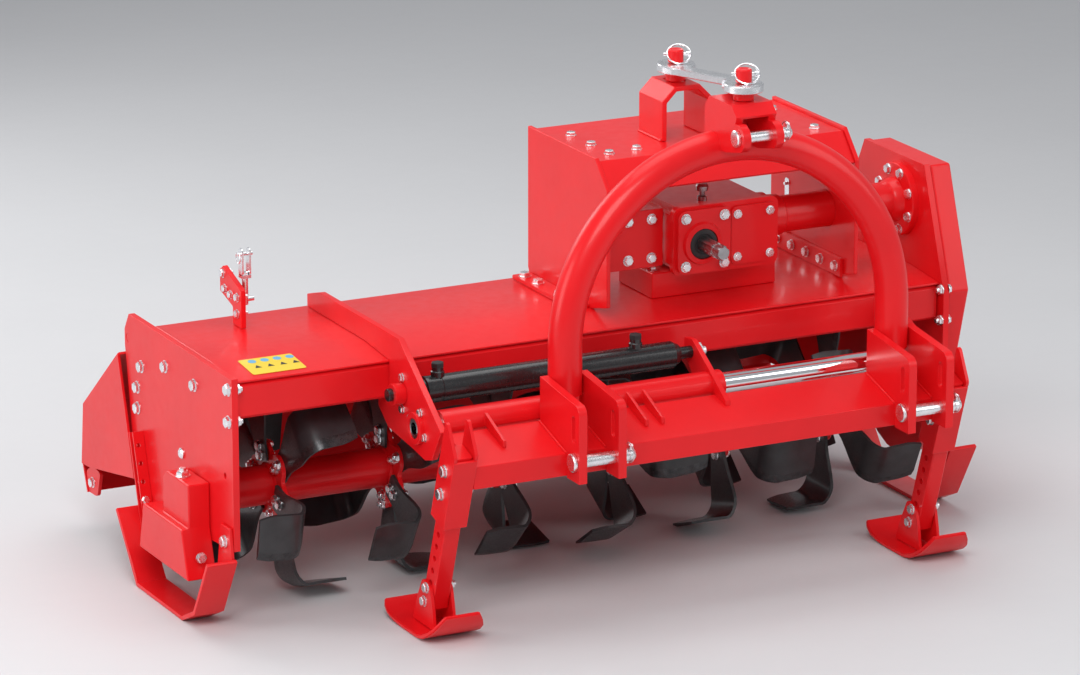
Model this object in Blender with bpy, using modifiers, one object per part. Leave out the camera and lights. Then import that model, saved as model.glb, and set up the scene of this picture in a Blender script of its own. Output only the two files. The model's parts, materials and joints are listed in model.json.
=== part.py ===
"""Rotary tiller with a side-shifting three-point hitch frame.

Metres, +Z up, standing on its skids and parking stands. X runs across the working width, Y runs
from the tractor side (-Y) to the tailgate. While it is being built, x = 0 is the middle of the
working width, y = 0 the front edge of the side plates and z = 0 the ground. At the end everything
is moved along Y so that the origin is under the middle of the bounding box.
"""

from math import atan2, cos, hypot, pi, radians, sin

import bmesh
import bpy
from mathutils import Matrix, Vector

# ---------------------------------------------------------------- driving dimensions
GAP = 0.0003                 # between pieces that touch
RUNNING = 0.0008             # guides that slide in each other
PIN_GAP = 0.0004             # pins and shafts in their bores
ROUND = 24                   # sides of a turned piece
SMALL_ROUND = 16             # sides of a pin or bolt

BODY_WIDTH = 1.804           # over the two side plates
SIDE_PLATE = 0.015
SHELL = 0.006                # hood and tailgate sheet
HOOD_TOP = 0.580             # height of the hood over the ground
HOOD_LIP = HOOD_TOP - 0.012
HOOD_CREASE_Y = 0.150
HOOD_FLAT_END_Y = 0.460
HOOD_REAR_Y = 0.560
HOOD_REAR_Z = HOOD_TOP - 0.075
PLATE_DEPTH = 0.580          # front to rear of a side plate along its top
PLATE_FOOT_Z = 0.187

BEAM_SIZE = 0.080            # square front beam
BEAM_WALL = 0.008
BEAM_Y = 0.022               # its front face
BEAM_TOP = HOOD_TOP - 0.020

ROTOR_Y = 0.240
ROTOR_Z = 0.248
ROTOR_TUBE = 0.090           # outer diameter
ROTOR_TUBE_LENGTH = BODY_WIDTH - 2 * SIDE_PLATE - 0.020
ROTOR_REACH = 0.238          # from the axis to the middle of a blade's outer face
STUB_DIAMETER = 0.050
FLANGES = 6
FLANGE_INSET = 0.167         # from the tube's end to the first flange
FLANGE_PITCH = (ROTOR_TUBE_LENGTH - 2 * FLANGE_INSET) / (FLANGES - 1)
FLANGE_DIAMETER = 0.190
FLANGE_THICKNESS = 0.010
FLANGE_START = radians(-15)  # the turn of the first flange at the left
FLANGE_STEP = radians(15)    # each flange is turned this much from the last
BLADES = 6                   # on each flange, bent left and right by turns
BLADE_WIDTH = 0.090
BLADE_THICKNESS = 0.008
BLADE_REACH_X = 0.125        # how far a blade bends out to the side
BLADE_BEND = 0.050
BLADE_ROOT = 0.060

BAR_Y = -0.127               # chrome slide bar
BAR_Z = 0.453
BAR_DIAMETER = 0.048
BAR_LEFT_X = -0.527
BAR_RIGHT_X = 0.775
RIB_X = -0.517               # left face of the left rib
RIB_THICKNESS = 0.015
RIB_TOP = HOOD_TOP + 0.050
RIGHT_BRACKET_X = 0.748

SLEEVE_DIAMETER = BAR_DIAMETER + 0.017
SLEEVE_LEFT_X = -0.467
SLEEVE_LENGTH = 0.698
GUSSET_THICKNESS = 0.008
GUSSETS_X = (-0.369, -0.020, 0.020)

CYLINDER_Y = -0.050
CYLINDER_Z = BAR_Z + 0.0585
BARREL_DIAMETER = 0.062
BARREL_LEFT_X = -0.480
BARREL_LENGTH = 0.630
BARREL_WALL = 0.008
ROD_DIAMETER = 0.025
ROD_IN_BARREL = 0.500
LUG_X = 0.198
LUG_THICKNESS = 0.012

HITCH_X = 0.230              # middle of the hitch frame
HITCH_SPACING = 0.826        # between the lower clevises
CLEVIS_PLATE = 0.020
CLEVIS_FRONT_Y = -0.360
CLEVIS_REAR_Y = -0.170
CLEVIS_TOP = 0.545
LOWER_PIN_Y = -0.335
LOWER_PIN_Z = 0.393
LOWER_PIN = 0.028
ARCH_DIAMETER = 0.076
ARCH_Y = -0.177
ARCH_FOOT_Z = 0.500
ARCH_SPRING_Z = 0.604        # where the legs turn into the half round
ARCH_CROWN_Z = ARCH_SPRING_Z + HITCH_SPACING / 2

HITCH_BEAM_PLATE = 0.012
HITCH_BEAM_FRONT_Y = -0.300
HITCH_BEAM_CREASE_Z = 0.404
HITCH_BEAM_FOOT_Z = 0.353
HITCH_BEAM_REAR_Y = -0.1655
HITCH_BEAM_REAR_Z = 0.443

TOP_FORK_WIDTH = 0.100
TOP_FORK_PLATE = 0.018
TOP_PIN_Y = -0.290
TOP_PIN_Z = ARCH_CROWN_Z + 0.043
TOP_PIN = 0.025
FORK_TOP = ARCH_CROWN_Z + 0.111
LINK_FRONT_Y = -0.225        # top link, from the fork down to the headstock bracket
LINK_FRONT_Z = FORK_TOP + 0.020  # underside of its front eye
LINK_REAR_X = 0.332
LINK_REAR_Y = 0.281
LINK_THICKNESS = 0.018
LINK_WIDTH = 0.044
LINK_EYE = 0.088
LINK_PIN = 0.024

HEAD_LEFT_X = 0.048
HEAD_RIGHT_X = 0.688
HEAD_PLATE = 0.010
HEAD_TOP = HOOD_TOP + 0.355
HEAD_FRONT_Y = 0.071
HEAD_REAR_Y = 0.467
LINK_BRACKET_WIDTH = 0.128
LINK_BRACKET_DEPTH = 0.116
LINK_BRACKET_TOP = HEAD_TOP + 0.117
LINK_REAR_Z = LINK_BRACKET_TOP + 0.023

GEARBOX_LEFT_X = 0.238
GEARBOX_RIGHT_X = 0.508
GEARBOX_FRONT_Y = 0.110
GEARBOX_DEPTH = 0.220
GEARBOX_FOOT_Z = HOOD_TOP + 0.060
GEARBOX_TOP_Z = GEARBOX_FOOT_Z + 0.160
PTO_X = 0.305
PTO_Z = GEARBOX_FOOT_Z + 0.075
PTO_DIAMETER = 0.035
PTO_TIP_Y = -0.005
PTO_SEAL = 0.070
DRIVE_Y = 0.205
DRIVE_Z = GEARBOX_FOOT_Z + 0.086
DRIVE_TUBE = 0.085
DRIVE_FLANGE = 0.172

GEAR_CASE_WIDTH = 0.056
GEAR_CASE_TOP = HOOD_TOP + 0.250
GEAR_CASE_LIP = HOOD_TOP - 0.034

GUARD_REACH = 0.070          # how far the bearing guard stands out
SKID_WIDTH = 0.072
SKID_PLATE = 0.010
SKID_HEEL = (0.392, 0.0)     # y and z where the runner turns up to its rear end
SKID_REAR = (0.507, 0.148)

TAILGATE_HINGE_Y = 0.588
TAILGATE_HINGE_Z = HOOD_TOP - 0.058
TAILGATE_KNUCKLE = 0.028
TAILGATE_PIN = 0.018
TAILGATE_SIDE_GAP = 0.006
TAILGATE_WING = 0.006

ADJUSTER_X = 0.724
ADJUSTER_PLATE = 0.012

STAND_X = (HITCH_X - 0.725, HITCH_X + HITCH_SPACING / 2 + ARCH_DIAMETER / 2 + CLEVIS_PLATE + 0.034)
STAND_SLOPE = 0.330          # rearward for each metre down
STAND_TOP_Y = -0.290
STAND_TOP_Z = 0.440
STAND_SIZE_X = 0.040
STAND_SIZE_Y = 0.050
STAND_WALL = 0.008
SHOE_WIDTH = 0.135
SHOE_PLATE = 0.010

RED = (0.62, 0.012, 0.014, 1.0)
BLACK = (0.018, 0.019, 0.021, 1.0)
ZINC = (0.72, 0.73, 0.75, 1.0)
CHROME = (0.86, 0.87, 0.89, 1.0)
STEEL = (0.30, 0.30, 0.31, 1.0)

HALF = BODY_WIDTH / 2
INNER = HALF - SIDE_PLATE


# ---------------------------------------------------------------- scene and materials
for old in list(bpy.data.objects):
    bpy.data.objects.remove(old, do_unlink=True)

PARTS = bpy.data.collections.new("rotary_tiller")
CUTTERS = bpy.data.collections.new("cutters")
for group in (PARTS, CUTTERS):
    bpy.context.scene.collection.children.link(group)


def empty(name, place=(0, 0, 0), parent=None):
    node = bpy.data.objects.new(name, None)
    node.empty_display_size = 0.05
    node.location = place
    PARTS.objects.link(node)
    bpy.context.view_layer.update()
    if parent:
        hang(node, parent)
        bpy.context.view_layer.update()
    return node


def hang(piece, parent):
    """Parents a piece and keeps it where it is in the world."""
    piece.parent = parent
    piece.matrix_parent_inverse = parent.matrix_world.inverted()
    return piece


def finish(piece, colour, roughness, metallic=0.0):
    skin = bpy.data.materials.new(piece.name + "_finish")
    skin.use_nodes = True
    shader = skin.node_tree.nodes["Principled BSDF"]
    shader.inputs["Base Color"].default_value = colour
    shader.inputs["Roughness"].default_value = roughness
    shader.inputs["Metallic"].default_value = metallic
    piece.data.materials.clear()
    piece.data.materials.append(skin)
    return piece


def red(piece):
    return finish(piece, RED, 0.28)


def black(piece):
    return finish(piece, BLACK, 0.40)


def zinc(piece):
    return finish(piece, ZINC, 0.32, 1.0)


def chrome(piece):
    return finish(piece, CHROME, 0.08, 1.0)


def steel(piece):
    return finish(piece, STEEL, 0.40, 1.0)


# ---------------------------------------------------------------- shapes
ACROSS = Matrix.Rotation(pi / 2, 4, "Z") @ Matrix.Rotation(pi / 2, 4, "X")   # outline in Y and Z
FACING = Matrix.Rotation(pi / 2, 4, "X")                                     # outline in X and Z
FLAT = Matrix.Identity(4)                                                    # outline in X and Y
ALONG_X = Matrix.Rotation(pi / 2, 4, "Y")
ALONG_Y = Matrix.Rotation(-pi / 2, 4, "X")
ALONG_Z = Matrix.Identity(4)


def add(name, mesh, matrix=FLAT, group=PARTS):
    piece = bpy.data.objects.new(name, mesh)
    group.objects.link(piece)
    piece.matrix_world = matrix
    return piece


def from_bmesh(name, shape, matrix=FLAT, group=PARTS):
    mesh = bpy.data.meshes.new(name)
    shape.to_mesh(mesh)
    shape.free()
    return add(name, mesh, matrix, group)


def box(name, low, high, turn=FLAT, group=PARTS):
    """A box from its lowest to its highest corner, turned about its middle."""
    low, high = Vector(low), Vector(high)
    shape = bmesh.new()
    bmesh.ops.create_cube(shape, size=1.0)
    bmesh.ops.scale(shape, vec=high - low, verts=shape.verts)
    return from_bmesh(name, shape, Matrix.Translation((low + high) / 2) @ turn, group)


def rod(name, diameter, length, axis, start, sides=ROUND, group=PARTS):
    """A solid cylinder that begins at start and runs length along axis."""
    shape = bmesh.new()
    bmesh.ops.create_cone(shape, cap_ends=True, segments=sides, radius1=diameter / 2,
                          radius2=diameter / 2, depth=length)
    bmesh.ops.translate(shape, vec=(0, 0, length / 2), verts=shape.verts)
    piece = from_bmesh(name, shape, Matrix.Translation(start) @ axis, group)
    round_off(piece)
    return piece


def round_off(piece):
    piece.data.shade_smooth()
    piece.data.set_sharp_from_angle(angle=radians(35))


def turned(name, profile, axis, place, sides=ROUND, group=PARTS):
    """Turns a profile of (radius, height) points, top to bottom on its outside, about axis."""
    shape = bmesh.new()
    points = [shape.verts.new((radius, 0, height)) for radius, height in profile]
    for first, second in zip(points, points[1:]):
        shape.edges.new((first, second))
    if profile[0][0] > 0:
        shape.edges.new((points[-1], points[0]))
    piece = from_bmesh(name, shape, Matrix.Translation(place) @ axis, group)
    screw = piece.modifiers.new("turn", "SCREW")
    screw.steps = screw.render_steps = sides
    screw.use_merge_vertices = True
    screw.merge_threshold = 0.00005
    screw.use_smooth_shade = False
    return piece


def as_mesh(curve):
    """Makes a curve object into a closed mesh object of the same name."""
    view = bpy.context.evaluated_depsgraph_get()
    mesh = bpy.data.meshes.new_from_object(curve.evaluated_get(view))
    name, matrix, group = curve.name, curve.matrix_world.copy(), curve.users_collection[0]
    bpy.data.objects.remove(curve, do_unlink=True)
    shape = bmesh.new()
    shape.from_mesh(mesh)
    bmesh.ops.remove_doubles(shape, verts=shape.verts, dist=0.00002)
    shape.to_mesh(mesh)
    shape.free()
    mesh.name = name
    piece = add(name, mesh, matrix, group)
    piece.name = name
    return piece


def plate(name, outline, thickness, start, plane=ACROSS, group=PARTS):
    """A flat outline given thickness from start along the plane's normal (X, -Y or Z)."""
    data = bpy.data.curves.new(name, "CURVE")
    data.dimensions = "2D"
    data.fill_mode = "BOTH"
    data.extrude = thickness / 2
    spline = data.splines.new("POLY")
    spline.points.add(len(outline) - 1)
    for point, (u, v) in zip(spline.points, outline):
        point.co = (u, v, 0, 1)
    spline.use_cyclic_u = True
    place = Vector(start) + plane.to_3x3() @ Vector((0, 0, thickness / 2))
    curve = add(name, data, Matrix.Translation(place) @ plane, group)
    bpy.context.view_layer.update()
    return as_mesh(curve)


def tube(name, points, diameter, corners=3, group=PARTS):
    """A round bar through the points, with closed ends."""
    data = bpy.data.curves.new(name, "CURVE")
    data.dimensions = "3D"
    data.bevel_depth = diameter / 2
    data.bevel_resolution = corners
    data.use_fill_caps = True
    spline = data.splines.new("POLY")
    spline.points.add(len(points) - 1)
    for point, (x, y, z) in zip(spline.points, points):
        point.co = (x, y, z, 1)
    curve = add(name, data, FLAT, group)
    bpy.context.view_layer.update()
    piece = as_mesh(curve)
    round_off(piece)
    return piece


def arc(centre, radius, first, last, steps):
    """Points on a circle from one angle to another, in degrees."""
    turns = [radians(first + (last - first) * k / steps) for k in range(steps + 1)]
    return [(centre[0] + radius * cos(t), centre[1] + radius * sin(t)) for t in turns]


def strip(points, thickness):
    """The outline of a bent plate: its upper side is points, the lower side is offset inwards."""
    lower = []
    for k, (u, v) in enumerate(points):
        before = points[max(k - 1, 0)]
        after = points[min(k + 1, len(points) - 1)]
        first = Vector((u - before[0], v - before[1]))
        second = Vector((after[0] - u, after[1] - v))
        if first.length == 0:
            first = second
        if second.length == 0:
            second = first
        first.normalize()
        second.normalize()
        middle = (first + second).normalized()
        normal = Vector((middle.y, -middle.x))
        reach = thickness / max(normal.dot(Vector((first.y, -first.x))), 0.3)
        lower.append((u + normal.x * reach, v + normal.y * reach))
    return list(points) + lower[::-1]


def combine(piece, others, operation):
    """Cuts the others from a piece, or joins them to it, and lets them move with it."""
    bpy.context.view_layer.update()
    for other in others:
        hang(other, piece)
        if other.name not in CUTTERS.objects:
            for group in list(other.users_collection):
                group.objects.unlink(other)
            CUTTERS.objects.link(other)
        other.hide_render = True
        other.display_type = "WIRE"
        change = piece.modifiers.new(operation.lower(), "BOOLEAN")
        change.operation = operation
        change.solver = "EXACT"
        change.object = other
    return piece


def cut(piece, *cutters):
    return combine(piece, cutters, "DIFFERENCE")


def join(piece, *others):
    return combine(piece, others, "UNION")


def hole(diameter, length, axis, start, sides=ROUND):
    return rod("hole", diameter, length, axis, start, sides, CUTTERS)


# ---------------------------------------------------------------- hood, side plates, front beam
def hood_line():
    """Outer line of the hood from its front lip to its rear edge, as (y, z)."""
    return [(BEAM_Y - 0.002, HOOD_LIP), (HOOD_CREASE_Y, HOOD_TOP), (HOOD_FLAT_END_Y, HOOD_TOP),
            (HOOD_REAR_Y, HOOD_REAR_Z)]


def hood_deck(root):
    outline = strip(hood_line(), SHELL)
    piece = plate("hood_deck", outline, 2 * (INNER - GAP), (-INNER + GAP, 0, 0))
    return red(hang(piece, root))


def plate_rear():
    """Rear edge of a side plate from the bottom up, with the ear for the tailgate's hinge."""
    ear = TAILGATE_HINGE_Y + 0.018
    return [(0.545, PLATE_FOOT_Z - 0.037), (0.572, 0.294), (0.598, 0.460), (ear, TAILGATE_HINGE_Z - 0.020),
            (ear, TAILGATE_HINGE_Z + 0.018)]


def pivot_holes(x):
    """Holes in a side plate for the rotor's stub and the tailgate's hinge pin."""
    length = SIDE_PLATE + 0.02
    stub = hole(STUB_DIAMETER + 2 * PIN_GAP, length, ALONG_X, (x - 0.01, ROTOR_Y, ROTOR_Z))
    place = (x - 0.01, TAILGATE_HINGE_Y, TAILGATE_HINGE_Z)
    return stub, hole(TAILGATE_PIN + 2 * PIN_GAP, length, ALONG_X, place, SMALL_ROUND)


def left_side_plate(root):
    outline = [(0, PLATE_FOOT_Z), *plate_rear(), (PLATE_DEPTH, HOOD_TOP), (0, HOOD_TOP)]
    piece = plate("left_side_plate", outline, SIDE_PLATE, (-HALF, 0, 0))
    cut(piece, *pivot_holes(-HALF))
    return red(hang(piece, root))


def case_top():
    """Upper edge of the right side plate and gear case, from the rear to the front."""
    return [(PLATE_DEPTH, HOOD_TOP), (0.500, HOOD_TOP), (0.375, GEAR_CASE_TOP), (0.100, GEAR_CASE_TOP),
            (0, GEAR_CASE_LIP)]


def right_side_plate(root):
    outline = [(0, PLATE_FOOT_Z), *plate_rear(), *case_top()]
    piece = plate("right_side_plate", outline, SIDE_PLATE, (INNER, 0, 0))
    cut(piece, *pivot_holes(INNER))
    return red(hang(piece, root))


def gear_case(root):
    middle = (ROTOR_Y, ROTOR_Z)
    outline = [(0.375, GEAR_CASE_TOP - 0.004), (0.100, GEAR_CASE_TOP - 0.004), (0.004, GEAR_CASE_LIP),
               *arc(middle, 0.150, 190, 350, 10), (0.470, HOOD_TOP - 0.01)]
    piece = plate("gear_case", outline, GEAR_CASE_WIDTH, (HALF + GAP, 0, 0))
    bevel = piece.modifiers.new("edges", "BEVEL")
    bevel.width = 0.004
    bevel.segments = 1
    return red(hang(piece, root))


def front_beam(root):
    low = (-INNER + GAP, BEAM_Y, BEAM_TOP - BEAM_SIZE)
    high = (INNER - GAP, BEAM_Y + BEAM_SIZE, BEAM_TOP)
    piece = box("front_beam", low, high)
    bevel = piece.modifiers.new("edges", "BEVEL")
    bevel.width = 0.006
    bevel.segments = 1
    inset = Vector((-0.02, BEAM_WALL, BEAM_WALL))
    cut(piece, box("inside", Vector(low) + inset, Vector(high) - inset, FLAT, CUTTERS))
    return red(hang(piece, root))


# ---------------------------------------------------------------- rotor
def blade(name, x, side, turn):
    """An L-shaped blade: a shank on the flange that bends to the side near its tip."""
    base = FLANGE_THICKNESS / 2 - 0.001
    bend_centre = (base + BLADE_BEND, ROTOR_REACH - BLADE_BEND)
    outer = [(base, BLADE_ROOT), *arc(bend_centre, BLADE_BEND, 180, 90, 5), (BLADE_REACH_X, ROTOR_REACH)]
    reach = BLADE_BEND - BLADE_THICKNESS
    inner = [(BLADE_REACH_X, ROTOR_REACH - BLADE_THICKNESS), *arc(bend_centre, reach, 90, 180, 5),
             (base + BLADE_THICKNESS, BLADE_ROOT)]
    outline = [(side * u, v) for u, v in outer + inner]
    if side < 0:
        outline.reverse()
    piece = plate(name, outline, BLADE_WIDTH, (0, BLADE_WIDTH / 2, 0), FACING, CUTTERS)
    centre = Matrix.Translation((x, ROTOR_Y, ROTOR_Z))
    piece.matrix_world = centre @ Matrix.Rotation(turn, 4, "X") @ piece.matrix_world
    return piece


def rotor_flange(rotor, number):
    x = (number - (FLANGES - 1) / 2) * FLANGE_PITCH
    bore = ROTOR_TUBE / 2 + GAP
    profile = [(FLANGE_DIAMETER / 2, FLANGE_THICKNESS / 2), (FLANGE_DIAMETER / 2, -FLANGE_THICKNESS / 2),
               (bore, -FLANGE_THICKNESS / 2), (bore, FLANGE_THICKNESS / 2)]
    piece = turned(f"rotor_flange_{number + 1}", profile, ALONG_X, (x, ROTOR_Y, ROTOR_Z))
    blades = []
    for k in range(BLADES):
        side = 1 if k % 2 else -1
        turn = FLANGE_START + number * FLANGE_STEP + k * 2 * pi / BLADES
        blades.append(blade(f"blade_{number}_{k}", x, side, turn))
    join(piece, *blades)
    return black(hang(piece, rotor))


def rotor_tube(rotor):
    end = ROTOR_TUBE_LENGTH / 2
    stub = INNER + SIDE_PLATE - 0.003
    profile = [(0, stub), (STUB_DIAMETER / 2, stub), (STUB_DIAMETER / 2, end), (ROTOR_TUBE / 2, end),
               (ROTOR_TUBE / 2, -end), (STUB_DIAMETER / 2, -end), (STUB_DIAMETER / 2, -stub), (0, -stub)]
    piece = turned("rotor_tube", profile, ALONG_X, (0, ROTOR_Y, ROTOR_Z))
    return red(hang(piece, rotor))


def build_rotor(root):
    rotor = empty("rotor_axis", (0, ROTOR_Y, ROTOR_Z), root)
    rotor_tube(rotor)
    for number in range(FLANGES):
        rotor_flange(rotor, number)


# ---------------------------------------------------------------- left rib, bracket and slide bar
def bar_hole(x, thickness):
    return hole(BAR_DIAMETER + 2 * GAP, thickness + 0.02, ALONG_X, (x - 0.01, BAR_Y, BAR_Z))


def hood_gap_line():
    """The hood's outer line and the beam's front, kept a gap away, from the rear to the foot."""
    front = BEAM_Y - 0.002 - GAP
    return [(HOOD_FLAT_END_Y - 0.005, HOOD_TOP + GAP), (HOOD_CREASE_Y, HOOD_TOP + GAP),
            (front, HOOD_LIP + GAP), (front, BEAM_TOP - BEAM_SIZE - GAP),
            (BEAM_Y + 0.055, BEAM_TOP - BEAM_SIZE - GAP)]


def left_rib(root):
    outline = [*hood_gap_line(), (0.078, 0.450), (0.027, 0.412), (-0.105, 0.397), (-0.161, 0.388),
               (-0.196, 0.398), (-0.242, 0.473), (-0.030, RIB_TOP), (0.385, RIB_TOP),
               (0.455, RIB_TOP - 0.020)]
    piece = plate("left_rib", outline, RIB_THICKNESS, (RIB_X, 0, 0))
    rod_hole = hole(ROD_DIAMETER + 2 * GAP, 0.05, ALONG_X, (RIB_X - 0.02, CYLINDER_Y, CYLINDER_Z))
    cut(piece, bar_hole(RIB_X, RIB_THICKNESS), rod_hole)
    return red(hang(piece, root))


def right_bar_bracket(root):
    front = BEAM_Y - 0.002 - GAP
    eye = arc((BAR_Y, BAR_Z), BAR_DIAMETER / 2 + 0.012, 100, 260, 8)
    outline = [(front, BEAM_TOP - 0.010), *eye, (front, BEAM_TOP - BEAM_SIZE - 0.045)]
    piece = plate("right_bar_bracket", outline, RIB_THICKNESS, (RIGHT_BRACKET_X, 0, 0))
    cut(piece, bar_hole(RIGHT_BRACKET_X, RIB_THICKNESS))
    return red(hang(piece, root))


def slide_bar(root):
    piece = rod("slide_bar", BAR_DIAMETER, BAR_RIGHT_X - BAR_LEFT_X, ALONG_X, (BAR_LEFT_X, BAR_Y, BAR_Z))
    return chrome(hang(piece, root))


def cylinder_rod(root):
    start = RIB_X - 0.038
    end = BARREL_LEFT_X + ROD_IN_BARREL
    piece = rod("cylinder_rod", ROD_DIAMETER, end - start, ALONG_X, (start, CYLINDER_Y, CYLINDER_Z))
    return chrome(hang(piece, root))


def rod_clamp(root):
    bore = ROD_DIAMETER / 2 + GAP
    width = 0.026
    profile = [(0.024, width), (0.024, 0), (bore, 0), (bore, width)]
    piece = turned("rod_clamp", profile, ALONG_X, (RIB_X - GAP - width, CYLINDER_Y, CYLINDER_Z))
    return red(hang(piece, root))


# ---------------------------------------------------------------- headstock
def head_outline():
    foot = HOOD_TOP + GAP
    return [(HEAD_FRONT_Y + 0.079, foot), (HOOD_FLAT_END_Y - 0.002, foot), (HEAD_REAR_Y, foot + 0.02),
            (HEAD_REAR_Y, HEAD_TOP), (0.130, HEAD_TOP), (HEAD_FRONT_Y, HEAD_TOP - 0.064),
            (HEAD_FRONT_Y, foot + 0.02)]


def headstock_plates(root):
    left = plate("headstock_left_plate", head_outline(), HEAD_PLATE, (HEAD_LEFT_X, 0, 0))
    right = plate("headstock_right_plate", head_outline(), HEAD_PLATE, (HEAD_RIGHT_X, 0, 0))
    drive = hole(DRIVE_TUBE + 2 * GAP, 0.06, ALONG_X, (HEAD_RIGHT_X - 0.02, DRIVE_Y, DRIVE_Z))
    cut(right, drive)
    for piece in (left, right):
        red(hang(piece, root))


def headstock_top(root):
    inner_left = HEAD_LEFT_X + HEAD_PLATE + GAP
    inner_right = HEAD_RIGHT_X - GAP
    line = [(HEAD_FRONT_Y + 0.004, HEAD_TOP - 0.070), (0.131, HEAD_TOP - 0.008),
            (HEAD_REAR_Y, HEAD_TOP - 0.008)]
    piece = plate("headstock_top", strip(line, 0.008), inner_right - inner_left, (inner_left, 0, 0))
    return red(hang(piece, root))


def link_bracket(root):
    """A bent strap on the headstock that carries the top link's rear pin."""
    foot = HEAD_TOP - 0.008 + GAP
    top = LINK_BRACKET_TOP
    half = LINK_BRACKET_WIDTH / 2
    wall = 0.012
    corner = 0.032
    inset = wall * 0.42
    outer = [(-half, foot), (-half, top - corner), (-half + corner, top), (half - corner, top),
             (half, top - corner), (half, foot)]
    inner = [(half - wall, foot), (half - wall, top - corner - inset), (half - corner - inset, top - wall),
             (-half + corner + inset, top - wall), (-half + wall, top - corner - inset), (-half + wall, foot)]
    outline = [(LINK_REAR_X + u, v) for u, v in outer + inner]
    rear = LINK_REAR_Y + LINK_BRACKET_DEPTH / 2
    piece = plate("link_bracket", outline, LINK_BRACKET_DEPTH, (0, rear, 0), FACING)
    slot = box("slot", (LINK_REAR_X - 0.018, LINK_REAR_Y - 0.018, top - 0.05),
               (LINK_REAR_X + 0.018, LINK_REAR_Y + 0.028, top + 0.05), FLAT, CUTTERS)
    cut(piece, slot)
    return red(hang(piece, root))


# ---------------------------------------------------------------- gearbox and drive line
def gearbox(root):
    low = (GEARBOX_LEFT_X, GEARBOX_FRONT_Y, GEARBOX_FOOT_Z)
    high = (GEARBOX_RIGHT_X, GEARBOX_FRONT_Y + GEARBOX_DEPTH, GEARBOX_TOP_Z)
    piece = box("gearbox", low, high)
    bevel = piece.modifiers.new("edges", "BEVEL")
    bevel.width = 0.012
    bevel.segments = 2
    shaft = hole(PTO_DIAMETER + 2 * PIN_GAP, 0.06, ALONG_Y, (PTO_X, GEARBOX_FRONT_Y - 0.01, PTO_Z))
    cut(piece, shaft)
    return red(hang(piece, root))


def gearbox_cover(root):
    low = (GEARBOX_LEFT_X + 0.006, GEARBOX_FRONT_Y - GAP - 0.014, GEARBOX_FOOT_Z + 0.006)
    high = (GEARBOX_LEFT_X + 0.140, GEARBOX_FRONT_Y - GAP, GEARBOX_TOP_Z - 0.006)
    piece = box("gearbox_cover", low, high)
    cut(piece, hole(PTO_SEAL, 0.04, ALONG_Y, (PTO_X, low[1] - 0.01, PTO_Z)))
    return red(hang(piece, root))


def shaft_seal(root):
    outer = PTO_SEAL / 2 - GAP
    bore = PTO_DIAMETER / 2 + PIN_GAP
    profile = [(outer, 0.024), (outer, 0), (bore, 0), (bore, 0.024)]
    place = (PTO_X, GEARBOX_FRONT_Y - GAP - 0.024, PTO_Z)
    return black(hang(turned("shaft_seal", profile, ALONG_Y, place), root))


def gearbox_base(root):
    low = (GEARBOX_LEFT_X - 0.030, GEARBOX_FRONT_Y + 0.045, HOOD_TOP + GAP)
    high = (GEARBOX_RIGHT_X + 0.020, GEARBOX_FRONT_Y + GEARBOX_DEPTH - 0.010, GEARBOX_FOOT_Z - GAP)
    return red(hang(box("gearbox_base", low, high), root))


def gearbox_plate(root):
    """The plate that ties the gearbox to the headstock's left plate."""
    low = (HEAD_LEFT_X + HEAD_PLATE + GAP, GEARBOX_FRONT_Y + 0.050, GEARBOX_FOOT_Z + 0.015)
    high = (GEARBOX_LEFT_X - GAP, GEARBOX_FRONT_Y + 0.064, GEARBOX_TOP_Z - 0.010)
    return red(hang(box("gearbox_plate", low, high), root))


def drive_tube(root):
    start = GEARBOX_RIGHT_X + GAP
    length = INNER - GAP - start
    radius, flange = DRIVE_TUBE / 2, DRIVE_FLANGE / 2
    collar = radius + 0.014
    profile = [(0, length), (flange, length), (flange, length - 0.016), (radius, length - 0.016),
               (radius, 0.050), (collar, 0.050), (collar, 0), (0, 0)]
    piece = turned("drive_tube", profile, ALONG_X, (start, DRIVE_Y, DRIVE_Z))
    return red(hang(piece, root))


def pto_shaft(root):
    axis = empty("pto_axis", (PTO_X, PTO_TIP_Y, PTO_Z), root)
    end = GEARBOX_FRONT_Y + 0.040
    piece = rod("pto_shaft", PTO_DIAMETER, end - PTO_TIP_Y, ALONG_Y, (PTO_X, PTO_TIP_Y, PTO_Z))
    return steel(hang(piece, axis))


# ---------------------------------------------------------------- bearing guard and skids
def bearing_guard(root):
    """Outer shield of the left rotor bearing: a narrow box on a wider one that tapers down."""
    low_box = [(0.0975, 0.100), (0.374, 0.100), (0.347, 0.210), (0.129, 0.210)]
    high_box = [(0.129, 0.205), (0.274, 0.205), (0.274, 0.290), (0.252, 0.310), (0.129, 0.310)]
    start = (-HALF - GAP - GUARD_REACH, 0, 0)
    piece = plate("bearing_guard", low_box, GUARD_REACH, start)
    narrow = (-HALF - GAP - 0.052, 0, 0)
    join(piece, plate("guard_upper", high_box, 0.052, narrow, ACROSS, CUTTERS))
    return red(hang(piece, root))


def skid_upper(y):
    """Height of the upper side of a skid's rising rear end at y."""
    run, rise = SKID_REAR[0] - SKID_HEEL[0], SKID_REAR[1] - SKID_HEEL[1]
    return SKID_HEEL[1] + (y - SKID_HEEL[0]) * rise / run + SKID_PLATE * hypot(run, rise) / run


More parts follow.
